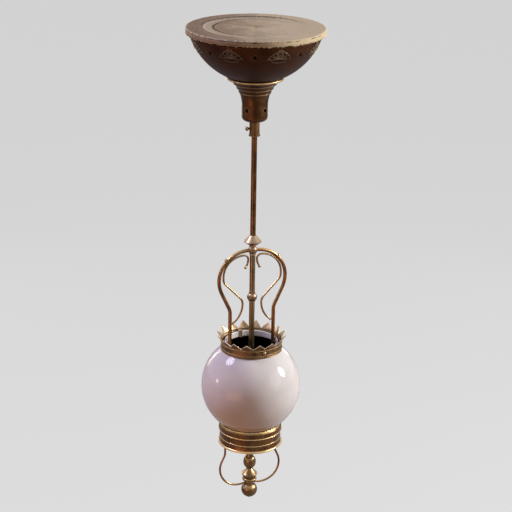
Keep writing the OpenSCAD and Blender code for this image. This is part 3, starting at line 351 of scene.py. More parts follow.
def noise(tree, place, scale, detail, rough, stretch=(1, 1, 1)):
    """Cloudy noise in object space, its scale in waves a metre, squeezed or drawn out along each axis."""
    place = shader_node(tree, "ShaderNodeMapping", {"Vector": place, "Scale": stretch}).outputs[0]
    sockets = {"Vector": place, "Scale": scale, "Detail": detail, "Roughness": rough}
    return shader_node(tree, "ShaderNodeTexNoise", sockets).outputs["Fac"]


def steps(tree, value, low, high, bottom=0.0, top=1.0):
    """Carries a value from low..high to bottom..top, smoothly and held at both ends."""
    sockets = {"Value": value, "From Min": low, "From Max": high, "To Min": bottom, "To Max": top}
    ramp = shader_node(tree, "ShaderNodeMapRange", sockets, interpolation_type="SMOOTHSTEP")
    return ramp.outputs["Result"]


def reckon(tree, kind, first, second):
    """One arithmetic step between two values."""
    return shader_node(tree, "ShaderNodeMath", {0: first, 1: second}, operation=kind).outputs[0]


def finish_material(tree, sockets, bump, depth):
    """Ends a material in one principled shader, with a bump whose depth is in metres."""
    bumped = {"Height": bump, "Distance": depth, "Strength": 1.0}
    sockets["Normal"] = shader_node(tree, "ShaderNodeBump", bumped).outputs[0]
    surface = shader_node(tree, "ShaderNodeBsdfPrincipled", sockets)
    shader_node(tree, "ShaderNodeOutputMaterial", {"Surface": surface.outputs[0]})


def mark_value(tree, name):
    """Reads one of a mesh's own point marks."""
    return shader_node(tree, "ShaderNodeAttribute", attribute_name=name).outputs["Fac"]


def coat(piece, material):
    """Gives a new piece its one material."""
    piece.data.materials.clear()
    piece.data.materials.append(material)


def along_axis(tree, place, axis):
    """How far a place lies along a direction: their dot product."""
    reached = shader_node(tree, "ShaderNodeVectorMath", {0: place, 1: axis}, operation="DOT_PRODUCT")
    return reached.outputs["Value"]


old_paint, tree, place = new_material("old_cream_paint")
cloud = noise(tree, place, 22, 6, 0.62)
fleck = noise(tree, place, 190, 5, 0.7)
scrape = noise(tree, place, 60, 5, 0.75, (1.0, 0.16, 1.0))
# Paler towards the right-hand window and darker away from it: painted light, over a cloudy tone.
across = along_axis(tree, place, (math.cos(FRONT), math.sin(FRONT), 0))
lit_side_and_tone = reckon(tree, "ADD", steps(tree, across, -0.13, 0.11), steps(tree, cloud, 0.36, 0.66, -0.2, 0.2))
paint = blend_colour(tree, steps(tree, lit_side_and_tone, 0.0, 1.0), srgb(134, 108, 80), srgb(204, 184, 148))
paint = blend_colour(tree, steps(tree, fleck, 0.56, 0.74, 0, 0.55), paint, srgb(122, 98, 72))
paint = blend_colour(tree, steps(tree, scrape, 0.6, 0.72, 0, 0.6), paint, srgb(208, 198, 176))
# The bright mark is a painted highlight on the sunk slope, and chips and wear on the edges.
rubbed_and_lit = steps(tree, mark_value(tree, "bright"), 0.15, 0.9, 0, 0.85)
paint = blend_colour(tree, rubbed_and_lit, paint, srgb(222, 208, 178))
# Darkens the paint by the grime mark, which holds real soiling and painted shade, plus flecks.
grime_and_shade = reckon(tree, "ADD", mark_value(tree, "dirt_and_shade"), steps(tree, fleck, 0.3, 0.7, -0.3, 0.3))
darkened = steps(tree, grime_and_shade, 0.35, 1.1)
paint = blend_colour(tree, darkened, paint, srgb(50, 29, 15))
rough = steps(tree, cloud, 0.3, 0.7, 0.5, 0.72)
shine = steps(tree, darkened, 0.0, 1.0, 0.4, 0.08)
grain = reckon(tree, "ADD", fleck, reckon(tree, "MULTIPLY", cloud, 2.0))
finish_material(tree, {"Base Color": paint, "Roughness": rough, "Specular IOR Level": shine}, grain, 0.0005)
coat(block, old_paint)
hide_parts("ceiling_block")
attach(block, "ceiling")

# The swivel inside the bowl: a dull iron flange screwed to the block, a screwed ring under its boss,
# and the turned ball that the whole light hangs from. Only seen once the bowl is let down.
# The fine lines in a metal are noise, scaled along each axis: up to lie round a turned piece, and
# down to run along a brushed or drawn one.
TURNED = (1, 1, 6)
BRUSHED = (1, 1, 0.14)
RING_EDGE = 1.35


def dress(material, *names):
    """Gives a material to pieces of the frame, by name."""
    for name in names:
        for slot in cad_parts[name].material_slots:
            slot.material = material


def close_dark(tree, reach):
    """Goes from 0 in the open to 1 in hollows and gaps narrower than about the reach, in metres."""
    open_share = shader_node(tree, "ShaderNodeAmbientOcclusion", {"Distance": reach}, samples=6)
    return steps(tree, open_share.outputs["AO"], 0.35, 0.95, 1.0, 0.0)


def thin_bright(tree, reach):
    """Goes from 0 on broad metal to 1 where it turns sharply within the reach, so along edges that wear has
    polished.
    """
    sockets = {"Distance": reach}
    solid = shader_node(tree, "ShaderNodeAmbientOcclusion", sockets, samples=6, inside=True, only_local=True)
    return steps(tree, solid.outputs["AO"], 0.45, 0.9, 1.0, 0.0)


def height_of(tree, place):
    """The height of a place or the upright share of a direction."""
    return shader_node(tree, "ShaderNodeSeparateXYZ", {"Vector": place}).outputs["Z"]


def on_rings(tree, place, rings):
    """Each turned ring's own share of wear and painted highlight, 0 to 1, and 0 between the rings. A ring
    is its height and half its width in millimetres, and that share, which fades out at RING_EDGE times
    that half width."""
    height = height_of(tree, place)
    share = 0.0
    for ring_height, half, wear in rings:
        away = reckon(tree, "ABSOLUTE", reckon(tree, "SUBTRACT", height, ring_height * MM), 0.0)
        worn_and_lit = steps(tree, away, half * MM, half * RING_EDGE * MM, wear, 0.0)
        share = reckon(tree, "MAXIMUM", share, worn_and_lit)
    return share


def aged_metal(name, hollow, middle, worn_and_lit, rough=0.3, metal=0.8, wear=0.7, draw=BRUSHED, top=0.45,
               rings=(), film=0.5):
    """Old metal with three colours: dark in its hollows, brown over its middle, polished along its edges.
    Tarnish gathers in clouds, fine lines follow the way it was drawn or turned, and small specks dull it.
    Its upper sides are lighter by the top share, a painted highlight, and its undersides darker, a painted
    shade. Its turned rings are bright from wear and a painted highlight."""
    material, tree, place = new_material(name)
    upright = height_of(tree, shader_node(tree, "ShaderNodeTexCoord").outputs["Normal"])
    cloud = noise(tree, place, 38, 5, 0.6)
    lines = noise(tree, place, 420, 3, 0.6, draw)
    speck = noise(tree, place, 700, 3, 0.7)
    colour = blend_colour(tree, steps(tree, cloud, 0.32, 0.6, 0.5, 0.0), middle, hollow)
    # Painted highlight on the upper sides and painted shade on the undersides.
    colour = blend_colour(tree, steps(tree, upright, 0.1, 0.95, 0.0, top), colour, worn_and_lit)
    colour = blend_colour(tree, steps(tree, upright, -0.95, 0.0, 0.55, 0.0), colour, hollow)
    colour = blend_colour(tree, steps(tree, lines, 0.55, 0.8, 0.0, 0.35), colour, worn_and_lit)
    colour = blend_colour(tree, steps(tree, speck, 0.6, 0.75, 0.0, 0.5), colour, hollow)
    kept = steps(tree, cloud, 0.3, 0.65, 0.35 * wear, wear)
    edge = reckon(tree, "MULTIPLY", thin_bright(tree, 0.0012), kept)
    # The turned rings are made bright as wear and as a painted highlight.
    if rings:
        rubbed_and_lit = steps(tree, cloud, 0.25, 0.6, 0.6, 0.95)
        edge = reckon(tree, "MAXIMUM", edge, reckon(tree, "MULTIPLY", on_rings(tree, place, rings), rubbed_and_lit))
    colour = blend_colour(tree, edge, colour, worn_and_lit)
    shade = close_dark(tree, 0.005)
    colour = blend_colour(tree, reckon(tree, "MULTIPLY", shade, 0.85), colour, hollow)
    dull = reckon(tree, "ADD", speck, reckon(tree, "MULTIPLY", cloud, 0.6))
    dull = steps(tree, dull, 0.55, 1.1, rough - 0.08, rough + 0.16)
    shine = reckon(tree, "MULTIPLY", steps(tree, shade, 0.0, 1.0, 1.0, 0.35), metal)
    sockets = {"Base Color": colour, "Metallic": shine, "Roughness": dull, "Specular IOR Level": film}
    finish_material(tree, sockets, reckon(tree, "ADD", lines, speck), 0.00008)
    return material


dull_iron = aged_metal("dull_iron", srgb(26, 22, 20), srgb(62, 56, 52), srgb(120, 112, 104),
                       rough=0.5, metal=0.6)
dress(dull_iron, "ceiling_flange", "flange_screws")
plain_brass = aged_metal("plain_brass", srgb(78, 54, 28), srgb(150, 116, 66), srgb(214, 180, 122),
                         rough=0.34, metal=0.85, wear=0.6, draw=TURNED)
dress(plain_brass, "socket_cap", "swivel_ball", "lock_nut", "lampholder_left", "lampholder_right")

# The stem: a long drawn brass tube, aged red-brown, with fine lines along its length. It hangs from
# the swivel ball. The centre rod below the hub is drawn brass too, greener and duller.
DRAWN = (1, 1, 0.05)
stem_brass = aged_metal("stem_brass", srgb(52, 27, 12), srgb(116, 80, 46), srgb(206, 168, 116),
                        rough=0.26, metal=0.85, wear=0.6, draw=DRAWN)
dress(stem_brass, "stem_tube")
rod_brass = aged_metal("rod_brass", srgb(52, 38, 22), srgb(126, 106, 72), srgb(204, 182, 140),
                       rough=0.26, metal=0.85, wear=0.6, draw=DRAWN)
dress(rod_brass, "centre_rod")

# The canopy bowl: a spun slice of a hollow ball, in bronze gone nearly black-brown. Its rim comes up
# close under the block, and eight four-pointed vents pierce it. It drops down the stem with the cup
# and the collar.
BOWL_R = 132.34
BOWL_CENTRE_Z = 27.0
BOWL_WALL = 1.2
BOWL_RIM_Z = -14.8
BOWL_MOUTH_R = 44.3
VENT_Z = -33.6
VENT_TURN = math.radians(24.5)
VENT_COUNT = 8
VENT_W = 16.0
VENT_WAIST = 0.19
VENT_DEPTH = 8.0
SPUN = (1, 1, 5)
SHARP_EDGE = math.radians(40)


def aimed(places, way, lean, height):
    """Places leant over about the Y axis, turned to a way round the Z axis, and lifted to a height."""
    turn = np.array(Matrix.Rotation(way, 3, "Z") @ Matrix.Rotation(lean, 3, "Y"))
    return places @ turn.T + np.array([0, 0, height])


# The wall is swept down outside, round the mouth's edge, up inside and round the rim's edge. At an
# angle a it lies (R - depth) cos a from the axis and (R - depth) sin a above the ball's centre.
rim_rise = math.asin((BOWL_RIM_Z - BOWL_CENTRE_Z) / BOWL_R)
mouth_rise = -math.acos(BOWL_MOUTH_R / BOWL_R)
down_bowl = np.linspace(rim_rise, mouth_rise, 61)[:, None]
round_edge = np.linspace(-np.pi / 2, np.pi / 2, 7)[1:-1, None]
edge_depth = np.sin(round_edge)
wall_share = np.vstack([0 * down_bowl, (1 + edge_depth) / 2, 0 * down_bowl + 1, (1 - edge_depth) / 2])
wall_depth = wall_share * BOWL_WALL
bulge = np.cos(round_edge) * BOWL_WALL / 2 / BOWL_R
sweep = np.vstack([down_bowl, mouth_rise - bulge, down_bowl[::-1], rim_rise + bulge])
skin_r = BOWL_R - wall_depth
bowl_places = lathe(skin_r * np.cos(sweep), BOWL_CENTRE_Z + skin_r * np.sin(sweep), round_turns(288))
bowl = grid_mesh("spun_bowl", bowl_places, loop_rows=True)
# A vent's cutter is a star of four long and four short corners, drawn out along its own axis.
star_points = np.arange(8)[::-1]
star_corners = star_points * np.pi / 4
star_r = np.where(star_points % 2 == 0, VENT_W / 2, VENT_W * VENT_WAIST)
vent_lean = math.asin((BOWL_CENTRE_Z - VENT_Z) / BOWL_R)
star_in, star_out = BOWL_R - VENT_DEPTH, BOWL_R + VENT_DEPTH
reach = np.array([star_in, star_in, star_out, star_out])[:, None]
spike = np.array([0.0, 1.0, 1.0, 0.0])[:, None] * star_r
star_sides = (spike * np.cos(star_corners), spike * np.sin(star_corners))
star = np.stack(np.broadcast_arrays(reach, *star_sides), axis=-1)
for vent in range(VENT_COUNT):
    vent_way = VENT_TURN + vent * 2 * math.pi / VENT_COUNT
    cut_away(bowl, grid_mesh("star", aimed(star, vent_way, vent_lean, BOWL_CENTRE_Z), poles=True))
bowl.data.set_sharp_from_angle(angle=SHARP_EDGE)
bowl_bronze = aged_metal("bowl_bronze", srgb(24, 11, 5), srgb(80, 45, 22), srgb(150, 112, 74),
                         rough=0.46, metal=0.6, wear=0.8, draw=SPUN, top=0.2, film=0.06)
coat(bowl, bowl_bronze)
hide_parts("canopy_bowl")
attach(bowl, "canopy")

# The lace fans: thin cast ornaments soldered on the bowl midway between its vents. Each is a fan of
# five leaves under a scalloped arch, with a small crest above and a row of hanging scallops below.
FAN_Z = -30.0
FAN_TURN = math.radians(2.0)
FAN_COUNT = 8
FAN_LIFT = 0.35
THREAD_R = 0.5
THREAD_SIDES = 6


def on_bowl(across, up, turn, lift):
    """Places on the bowl's sphere. Steps across and up its skin, in millimetres, become angles. With
    s = asin((FAN_Z - centre) / R), rise = s + up / R and way round = turn + across / (R cos s)."""
    fan_rise = math.asin((FAN_Z - BOWL_CENTRE_Z) / BOWL_R)
    rise = fan_rise + up / BOWL_R
    way = turn + across / (BOWL_R * math.cos(fan_rise))
    out = BOWL_R + lift
    level = out * np.cos(rise)
    return np.stack([level * np.cos(way), level * np.sin(way), BOWL_CENTRE_Z + out * np.sin(rise)], axis=-1)


def bead_string(points, outward, thickness, sides, closed):
    """A round thread along points: p + thickness * (cos a * side + sin a * outward), where side is the
    cross product of the outward direction and the thread's own direction."""
    along = np.roll(points, -1, 0) - np.roll(points, 1, 0) if closed else np.gradient(points, axis=0)
    along /= np.linalg.norm(along, axis=1, keepdims=True)
    side = np.cross(outward, along)
    side /= np.linalg.norm(side, axis=1, keepdims=True)
    turn = round_turns(sides)[None, :, None]
    ring = np.cos(turn) * side[:, None] + np.sin(turn) * np.cross(along, side)[:, None]
    return points[:, None] + thickness * ring


def leaf(base, lean, length, width):
    """A pointed leaf's outline from its base: straight out by length * (1 - cos t) / 2, and to the
    side by width * sin t * (1 - cos t) / 2.6, turned from upright by its lean."""
    t = round_turns(24)
    out = length * (1 - np.cos(t)) / 2
    side = width * np.sin(t) * (1 - np.cos(t)) / 2.6
    return (
        base[0] + out * np.sin(lean) + side * np.cos(lean),
        base[1] + out * np.cos(lean) - side * np.sin(lean),
    )


def one_piece(name, parts):
    """Joins grids into one piece."""
    with bpy.context.temp_override(active_object=parts[0], selected_editable_objects=parts):
        bpy.ops.object.join()
    parts[0].name = name
    return parts[0]


def lace_fan(turn):
    """The threads of one fan, each a grid of points on the bowl at the given way round: five leaves with
    a small one in each, the scalloped arch over them, the hanging scallops, two curls and the crest."""
    strokes = []
    for lean, length, width in ((-78, 21, 8), (-42, 17, 8), (0, 15, 8), (42, 17, 8), (78, 21, 8)):
        strokes.append((*leaf((0.0, -8.0), math.radians(lean), length, width), True))
        strokes.append((*leaf((0.0, -7.0), math.radians(lean), length * 0.6, width * 0.4), True))
    t = np.linspace(0, 1, 61)
    swell = np.sin(t * np.pi)
    arch_x = 23.5 * np.sin((t - 0.5) * np.pi) * (1 - 0.16 * swell)
    arch_y = -10.0 + 18.5 * swell ** 1.15 + 1.3 * np.abs(np.sin(t * np.pi * 9))
    strokes.append((arch_x, arch_y, False))
    strokes.append((15.0 * (2 * t - 1), -12.0 - 2.6 * np.abs(np.sin(t * np.pi * 6)) - 3.0 * swell, False))
    for side in (-1, 1):
        strokes.append((side * (1.0 + 5.0 * t), 9.0 + 5.0 * swell - 2.5 * t, False))
    strokes.append((5.0 * (2 * t - 1), 14.5 - 5.5 * np.abs(np.cos(t * np.pi)), False))
    grids = []
    for across, up, closed in strokes:
        points = on_bowl(across, up, turn, FAN_LIFT)
        outward = points - np.array([0, 0, BOWL_CENTRE_Z])
        outward /= np.linalg.norm(outward, axis=1, keepdims=True)
        thread = bead_string(points, outward, THREAD_R, THREAD_SIDES, closed)
        grids.append(grid_mesh("thread", thread, loop_rows=closed, poles=not closed))
    return grids


fan_ways = FAN_TURN + 2 * np.pi * np.arange(FAN_COUNT) / FAN_COUNT
fans = one_piece("lace_fans", [thread for way in fan_ways for thread in lace_fan(way)])
fan_metal = aged_metal("worn_lace", srgb(46, 29, 16), srgb(94, 72, 48), srgb(160, 138, 104),
                       rough=0.4, metal=0.5, wear=0.8)
coat(fans, fan_metal)
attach(fans, "canopy")

# The neck cup: a spun trumpet with a bright rolled lip that lies against the bowl, three turned ridges,
# a straight part with round vents, and a round bottom corner. The lip's and the ridges' brightness is
# wear and a painted highlight. Under it the slip collar with its thumbscrew grips the stem.
LIP_X = 52.3
LIP_R = 2.5
LIP_Z = -97.2
LIP_ROLL = (170, -75)
FLARE_TOP_Z = LIP_Z - 3.2
FLARE_FOOT_Z = -150.3
CUP_R = 25.0
CUP_WALL = 1.2
CUP_CORNER_Z = -172.1
CUP_CORNER_R = 9.0
CUP_BORE_R = 8.6
RIDGE_Z = (-108.2, -117.0, -125.2)
RIDGE_R = 1.4
CUP_VENT_Z = -157.3
CUP_VENT_R = 4.2
CUP_VENT_TURN = math.radians(33.0)
DRILL_REACH = 35.0


def flared(heights, inset):
    """The cup's radius at each height: straight at R - inset, then above the foot of the flare
    R + F - sqrt((F + inset)^2 - rise^2), where F is the radius of the flare's arc."""
    wide, tall = LIP_X - CUP_R, LIP_Z - FLARE_FOOT_Z
    arc = (wide**2 + tall**2) / (2 * wide)
    rise = np.clip(heights - FLARE_FOOT_Z, 0, tall)
    return CUP_R + arc - np.sqrt((arc + inset) ** 2 - rise**2)


def corner_arc(inset):
    """The cup's bottom corner as radius and height, a quarter circle from the wall to the bottom."""
    turn = np.linspace(0, np.pi / 2, 13)
    middle = CUP_R - CUP_CORNER_R
    bend = CUP_CORNER_R - inset
    return middle + bend * np.cos(turn), CUP_CORNER_Z - bend * np.sin(turn)


# The profile runs round the rolled lip by its degrees, down the outside over the ridges, round the
# corner to the bore, and back up the inside.
lip_turn = np.radians(np.linspace(*LIP_ROLL, 29))
outer_z = np.linspace(FLARE_TOP_Z, CUP_CORNER_Z + 1, 240)
ridge_rise = sum(np.sqrt(np.clip(RIDGE_R**2 - (outer_z - ridge) ** 2, 0, None)) for ridge in RIDGE_Z)
inner_z = np.linspace(CUP_CORNER_Z + 1, LIP_Z - 1, 60)
corner_out, corner_in = corner_arc(0.0), corner_arc(CUP_WALL)
bottom_z = CUP_CORNER_Z - CUP_CORNER_R
cup_radii = np.concatenate([
    LIP_X + LIP_R * np.cos(lip_turn), flared(outer_z, 0.0) + ridge_rise, corner_out[0],
    [CUP_BORE_R, CUP_BORE_R], corner_in[0][::-1], flared(inner_z, CUP_WALL),
])[:, None]
cup_heights = np.concatenate([
    LIP_Z + LIP_R * np.sin(lip_turn), outer_z, corner_out[1],
    [bottom_z, bottom_z + CUP_WALL], corner_in[1][::-1], inner_z,
])[:, None]
cup = grid_mesh("spun_cup", lathe(cup_radii, cup_heights, round_turns(192)), loop_rows=True)
drill_r = np.array([0.0, CUP_VENT_R, CUP_VENT_R, 0.0])[:, None]
drill_z = np.array([DRILL_REACH, DRILL_REACH, -DRILL_REACH, -DRILL_REACH])[:, None]
drill = lathe(drill_r, drill_z, round_turns(40))
for vent_way in (CUP_VENT_TURN, CUP_VENT_TURN + math.pi / 2):
    cut_away(cup, grid_mesh("drill", aimed(drill, vent_way, math.pi / 2, CUP_VENT_Z), poles=True))
cup.data.set_sharp_from_angle(angle=SHARP_EDGE)
CUP_RINGS = (
    # height, half the width, wear and painted highlight
    (LIP_Z, 1.5, 0.9), (RIDGE_Z[0], 0.6, 0.45), (RIDGE_Z[1], 0.6, 0.45), (RIDGE_Z[2], 0.6, 0.5),
)
cup_brass = aged_metal("cup_brass", srgb(34, 17, 7), srgb(92, 62, 34), srgb(212, 176, 126),
                       metal=0.8, wear=0.5, draw=TURNED, top=0.2, rings=CUP_RINGS, film=0.15)
coat(cup, cup_brass)
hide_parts("neck_cup")
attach(cup, "canopy")
collar_brass = aged_metal("collar_brass", srgb(50, 30, 16), srgb(118, 86, 52), srgb(198, 162, 116),
                          rough=0.36, metal=0.75, wear=0.8, draw=TURNED)
dress(collar_brass, "slip_collar", "thumbscrew")

# The double cone and the hub: two shallow cones worn to pale pinkish brass, over the round hub that
# the two tubes of the harp spring from. The small bead on the rod has the same worn look.
cone_brass = aged_metal("cone_brass", srgb(62, 38, 22), srgb(140, 110, 82), srgb(226, 202, 174),
                        metal=0.75, wear=0.8, draw=TURNED)
dress(cone_brass, "double_cone", "hub_ball", "rod_bead")

# The harp: two brass tubes, gone orange-brown in the heat of bending, and the scroll wires inside them
# with their ball ends and fixing screws. Tubes and wires are paler along their tops: a painted highlight.
BENT = (1, 1, 0.4)
harp_brass = aged_metal("harp_brass", srgb(64, 34, 14), srgb(142, 94, 50), srgb(236, 204, 152),
                        rough=0.24, metal=0.88, wear=0.6, draw=BENT, top=0.75)
dress(harp_brass, "arm_left", "arm_right")
scroll_brass = aged_metal("scroll_brass", srgb(84, 48, 20), srgb(160, 116, 68), srgb(238, 212, 168),
                          rough=0.24, metal=0.85, wear=0.6, draw=BENT, top=0.8)
dress(scroll_brass, "scroll_left", "scroll_right")
screw_brass = aged_metal("screw_brass", srgb(84, 64, 42), srgb(158, 138, 108), srgb(222, 210, 184),
                         wear=0.8)
dress(screw_brass, "scroll_screws", "clip_screws")

# The two candle lamps in the globe: a frosted glass bulb on a brass screw cap, which turns into the
# lampholder at the end of each arm.
LAMP_CAP_Z = -731.0
lamp_glass, tree, place = new_material("frosted_lamp")
height = height_of(tree, place)
is_cap = steps(tree, height, (LAMP_CAP_Z - 0.1) * MM, (LAMP_CAP_Z + 0.1) * MM)
frost = noise(tree, place, 900, 3, 0.6)
glass_colour = blend_colour(tree, steps(tree, frost, 0.3, 0.7), srgb(236, 232, 224), srgb(220, 214, 204))
finish_material(tree, {
    "Base Color": blend_colour(tree, is_cap, glass_colour, srgb(160, 128, 80)),
    "Metallic": is_cap,
    "Roughness": steps(tree, frost, 0.3, 0.7, 0.3, 0.45),
}, frost, 0.00005)
dress(lamp_glass, "lamp_left", "lamp_right")

# The globe: thick opal glass with a glossy skin, milk-white outside, blown as a ball with a straight
# open neck above and below. Its inside is painted dark below the upper neck, as deep shade, and its
# skin has a few faint smudges.
GLOBE_R = 100.0
GLOBE_MIDDLE_Z = -732.0
GLASS_T = 3.2
HALF_GLASS = GLASS_T / 2
NECK_R = 53.6
NECK_TOP_Z = -635.0
NECK_FOOT_Z = -834.4
NECK_FILLET = 1.6
SHADE_TOP_Z = -646.5
SHADE_FULL_Z = -649.0
neck_rise = math.asin(math.sqrt(GLOBE_R**2 - NECK_R**2) / GLOBE_R)


def globe_wall(inset):
    """The glass wall from its top to its foot as radius and height. The ball stands out from the
    neck by d, and s = sqrt(d^2 + f^2) blends it in over a fillet f: radius = neck + s - f^2 / s."""
    sweep = np.linspace(neck_rise, -neck_rise, 97)
    ball_r, ball_z = (GLOBE_R - inset) * np.cos(sweep), GLOBE_MIDDLE_Z + GLOBE_R * np.sin(sweep)
    neck = NECK_R - inset
    blend = np.sqrt((ball_r - neck).clip(0) ** 2 + NECK_FILLET**2)
    ball_r = neck + blend - NECK_FILLET**2 / blend
    above = np.linspace(NECK_TOP_Z - HALF_GLASS, ball_z[0] + 0.5, 6)
    under = np.linspace(ball_z[-1] - 0.5, NECK_FOOT_Z + HALF_GLASS, 6)
    wall_r = np.concatenate([0 * above + neck, ball_r, 0 * under + neck])
    return wall_r, np.concatenate([above, ball_z, under])


round_lip = np.linspace(np.pi, 0, 11)[1:-1]
lip_middle = NECK_R - HALF_GLASS
out_r, out_z = globe_wall(0.0)
in_r, in_z = globe_wall(GLASS_T)
globe_radii = np.concatenate([
    lip_middle + HALF_GLASS * np.cos(round_lip), out_r,
    lip_middle + HALF_GLASS * np.cos(round_lip[::-1]), in_r[::-1],
])[:, None]
globe_heights = np.concatenate([
    NECK_TOP_Z - HALF_GLASS * (1 - np.sin(round_lip)), out_z,
    NECK_FOOT_Z + HALF_GLASS * (1 - np.sin(round_lip)), in_z[::-1],
])[:, None]
in_wall = np.concatenate([0 * round_lip, 0 * out_z, 0 * round_lip, 0 * in_z + 1])[:, None]
globe_turns = round_turns(240)
globe_marks = {"in_wall": in_wall + 0 * globe_turns}
globe_places = lathe(globe_radii, globe_heights, globe_turns)
globe = grid_mesh("blown_globe", globe_places, loop_rows=True, marks=globe_marks)
opal, tree, place = new_material("opal_glass")
below_neck = steps(tree, height_of(tree, place), SHADE_TOP_Z * MM, SHADE_FULL_Z * MM)
inner = reckon(tree, "MULTIPLY", mark_value(tree, "in_wall"), below_neck)
milk = noise(tree, place, 14, 3, 0.5)
smudge = noise(tree, place, 70, 5, 0.7)
skin = blend_colour(tree, steps(tree, milk, 0.3, 0.7), srgb(232, 228, 226), srgb(222, 217, 219))
skin = blend_colour(tree, steps(tree, smudge, 0.6, 0.8, 0.0, 0.25), skin, srgb(196, 186, 176))
shaded = blend_colour(tree, steps(tree, smudge, 0.3, 0.7), srgb(30, 24, 27), srgb(42, 34, 36))
finish_material(tree, {
    "Base Color": blend_colour(tree, inner, skin, shaded),
    "Roughness": steps(tree, smudge, 0.5, 0.8, 0.2, 0.34),
    "IOR": 1.5,
    "Specular IOR Level": 0.06,
    "Coat Weight": 0.45,
    "Coat Roughness": 0.06,
}, milk, 0.00003)
coat(globe, opal)
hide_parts("glass_globe")
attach(globe, "lantern")

# The crown: a brass band with a rolled edge and two rows of pearls, cut into sixteen pointed teeth
# that lean out over it. Each tooth is folded along its middle and dished. Two clips hold the band to
# the glass.
TEETH = 16
CROWN_R = 61.2
CROWN_FOOT_Z = -651.22
TOOTH_ROOT_Z = -633.22
TOOTH_H = 13.1
TOOTH_TURN = math.radians(-5.25)
PEARLS = 84
PEARL_STEPS = 10
PEARL_H = 1.2
TOOTH_ROWS = 14
TOOTH_LEAN = 9.3
TOOTH_FOLD = 1.5
CROWN_SHEET_T = 0.9
crown_turns = round_turns(PEARLS * PEARL_STEPS)
band = np.array([
    # radius out from the band, height above its foot, pearl size
    [-0.7, 0.5, 0], [-0.75, -0.3, 0], [-0.35, -0.85, 0], [0.25, -0.95, 0], [0.8, -0.6, 0], [1.0, 0.0, 0],
    [0.8, 0.6, 0], [0.2, 1.0, 0], [0.0, 1.5, 0], [0.0, 3.0, 0],
    [0.0, 3.5, 0.1], [0.05, 3.8, 0.5], [0.1, 4.1, 0.85], [0.1, 4.35, 1.0], [0.1, 4.6, 0.85],
    [0.05, 4.9, 0.5], [0.0, 5.2, 0.1], [0.0, 6.0, 0], [0.0, 9.0, 0], [0.0, 12.0, 0],
    [0.0, 14.4, 0.1], [0.05, 14.8, 0.5], [0.1, 15.15, 0.85], [0.1, 15.45, 1.0], [0.1, 15.75, 0.85],
    [0.05, 16.1, 0.5], [0.0, 16.4, 0.1], [0.0, 17.0, 0], [0.0, 18.0, 0],
])
# A pearl bulges by the root of a sine, which makes it round. A tooth is TOOTH_H (1 - x)^0.94 tall at x
# from its middle, leans out by TOOTH_LEAN (height / TOOTH_H)^1.15, and folds out by a sine of its height.
pearl = np.sqrt(np.abs(np.sin(crown_turns * PEARLS / 2)))
band_r = CROWN_R + band[:, :1] + PEARL_H * band[:, 2:] * pearl
band_z = CROWN_FOOT_Z + band[:, 1:2] + 0 * pearl
across_tooth = np.abs(((crown_turns - TOOTH_TURN) * TEETH / (2 * np.pi) + 0.5) % 1.0 - 0.5) * 2
tooth_top = TOOTH_H * np.clip(1.0 - across_tooth, 0.0, 1.0) ** 0.94 + 0.35
share_up = (1 - (1 - np.arange(1, TOOTH_ROWS + 1) / TOOTH_ROWS) ** 1.5)[:, None]
tooth_up = share_up * tooth_top
tooth_lean = TOOTH_LEAN * (tooth_up / TOOTH_H) ** 1.15
tooth_fold = TOOTH_FOLD * np.sin(np.pi * np.clip(tooth_up / TOOTH_H, 0, 1)) * (0.5 - across_tooth)
tooth_r = CROWN_R + tooth_lean + tooth_fold
crown_z = np.vstack([band_z, TOOTH_ROOT_Z + tooth_up])
crown_places = lathe(np.vstack([band_r, tooth_r]), crown_z, crown_turns)
# The tooth tips are marked for wear and a painted highlight, the pearl tops for a painted glint and the
# hollows between the pearls for painted shade.
near_tip = np.clip((share_up - 0.84) / 0.16, 0, 1)
rim_share = np.vstack([0 * band_r, near_tip + 0 * pearl])
pearl_glint_and_shade = np.vstack([band[:, 2:] * (pearl - 0.45) * 1.6, 0 * tooth_r])
crown_marks = {"rim": rim_share[::-1], "pearl": pearl_glint_and_shade[::-1]}
crown = grid_mesh("toothed_crown", crown_places[::-1], marks=crown_marks)
sheet = crown.modifiers.new("sheet", "SOLIDIFY")
sheet.thickness = CROWN_SHEET_T * MM
sheet.offset = -1.0
crown_brass, tree, place = new_material("crown_brass")
cloud = noise(tree, place, 45, 5, 0.6)
speck = noise(tree, place, 520, 4, 0.7)
# The inner faces of band and teeth are paler: painted light.
facing = shader_node(tree, "ShaderNodeTexCoord").outputs["Normal"]
flat_place = shader_node(tree, "ShaderNodeVectorMath", {0: place, 1: (1, 1, 0)}, operation="MULTIPLY")
outward = along_axis(tree, facing, flat_place.outputs[0])
inside = steps(tree, outward, -0.02, -0.002, 1.0, 0.0)
clouded = steps(tree, cloud, 0.35, 0.62)
brown = blend_colour(tree, clouded, srgb(82, 52, 28), srgb(128, 98, 64))
lit_inside_brown = blend_colour(tree, clouded, srgb(146, 118, 86), srgb(196, 174, 140))
brown = blend_colour(tree, inside, brown, lit_inside_brown)
brown = blend_colour(tree, steps(tree, speck, 0.56, 0.76, 0.0, 0.6), brown, srgb(84, 52, 30))
# Tooth tips: wear and a painted highlight.
rim_worn_and_lit = reckon(tree, "MULTIPLY", mark_value(tree, "rim"), 0.8)
brown = blend_colour(tree, rim_worn_and_lit, brown, srgb(230, 206, 168))
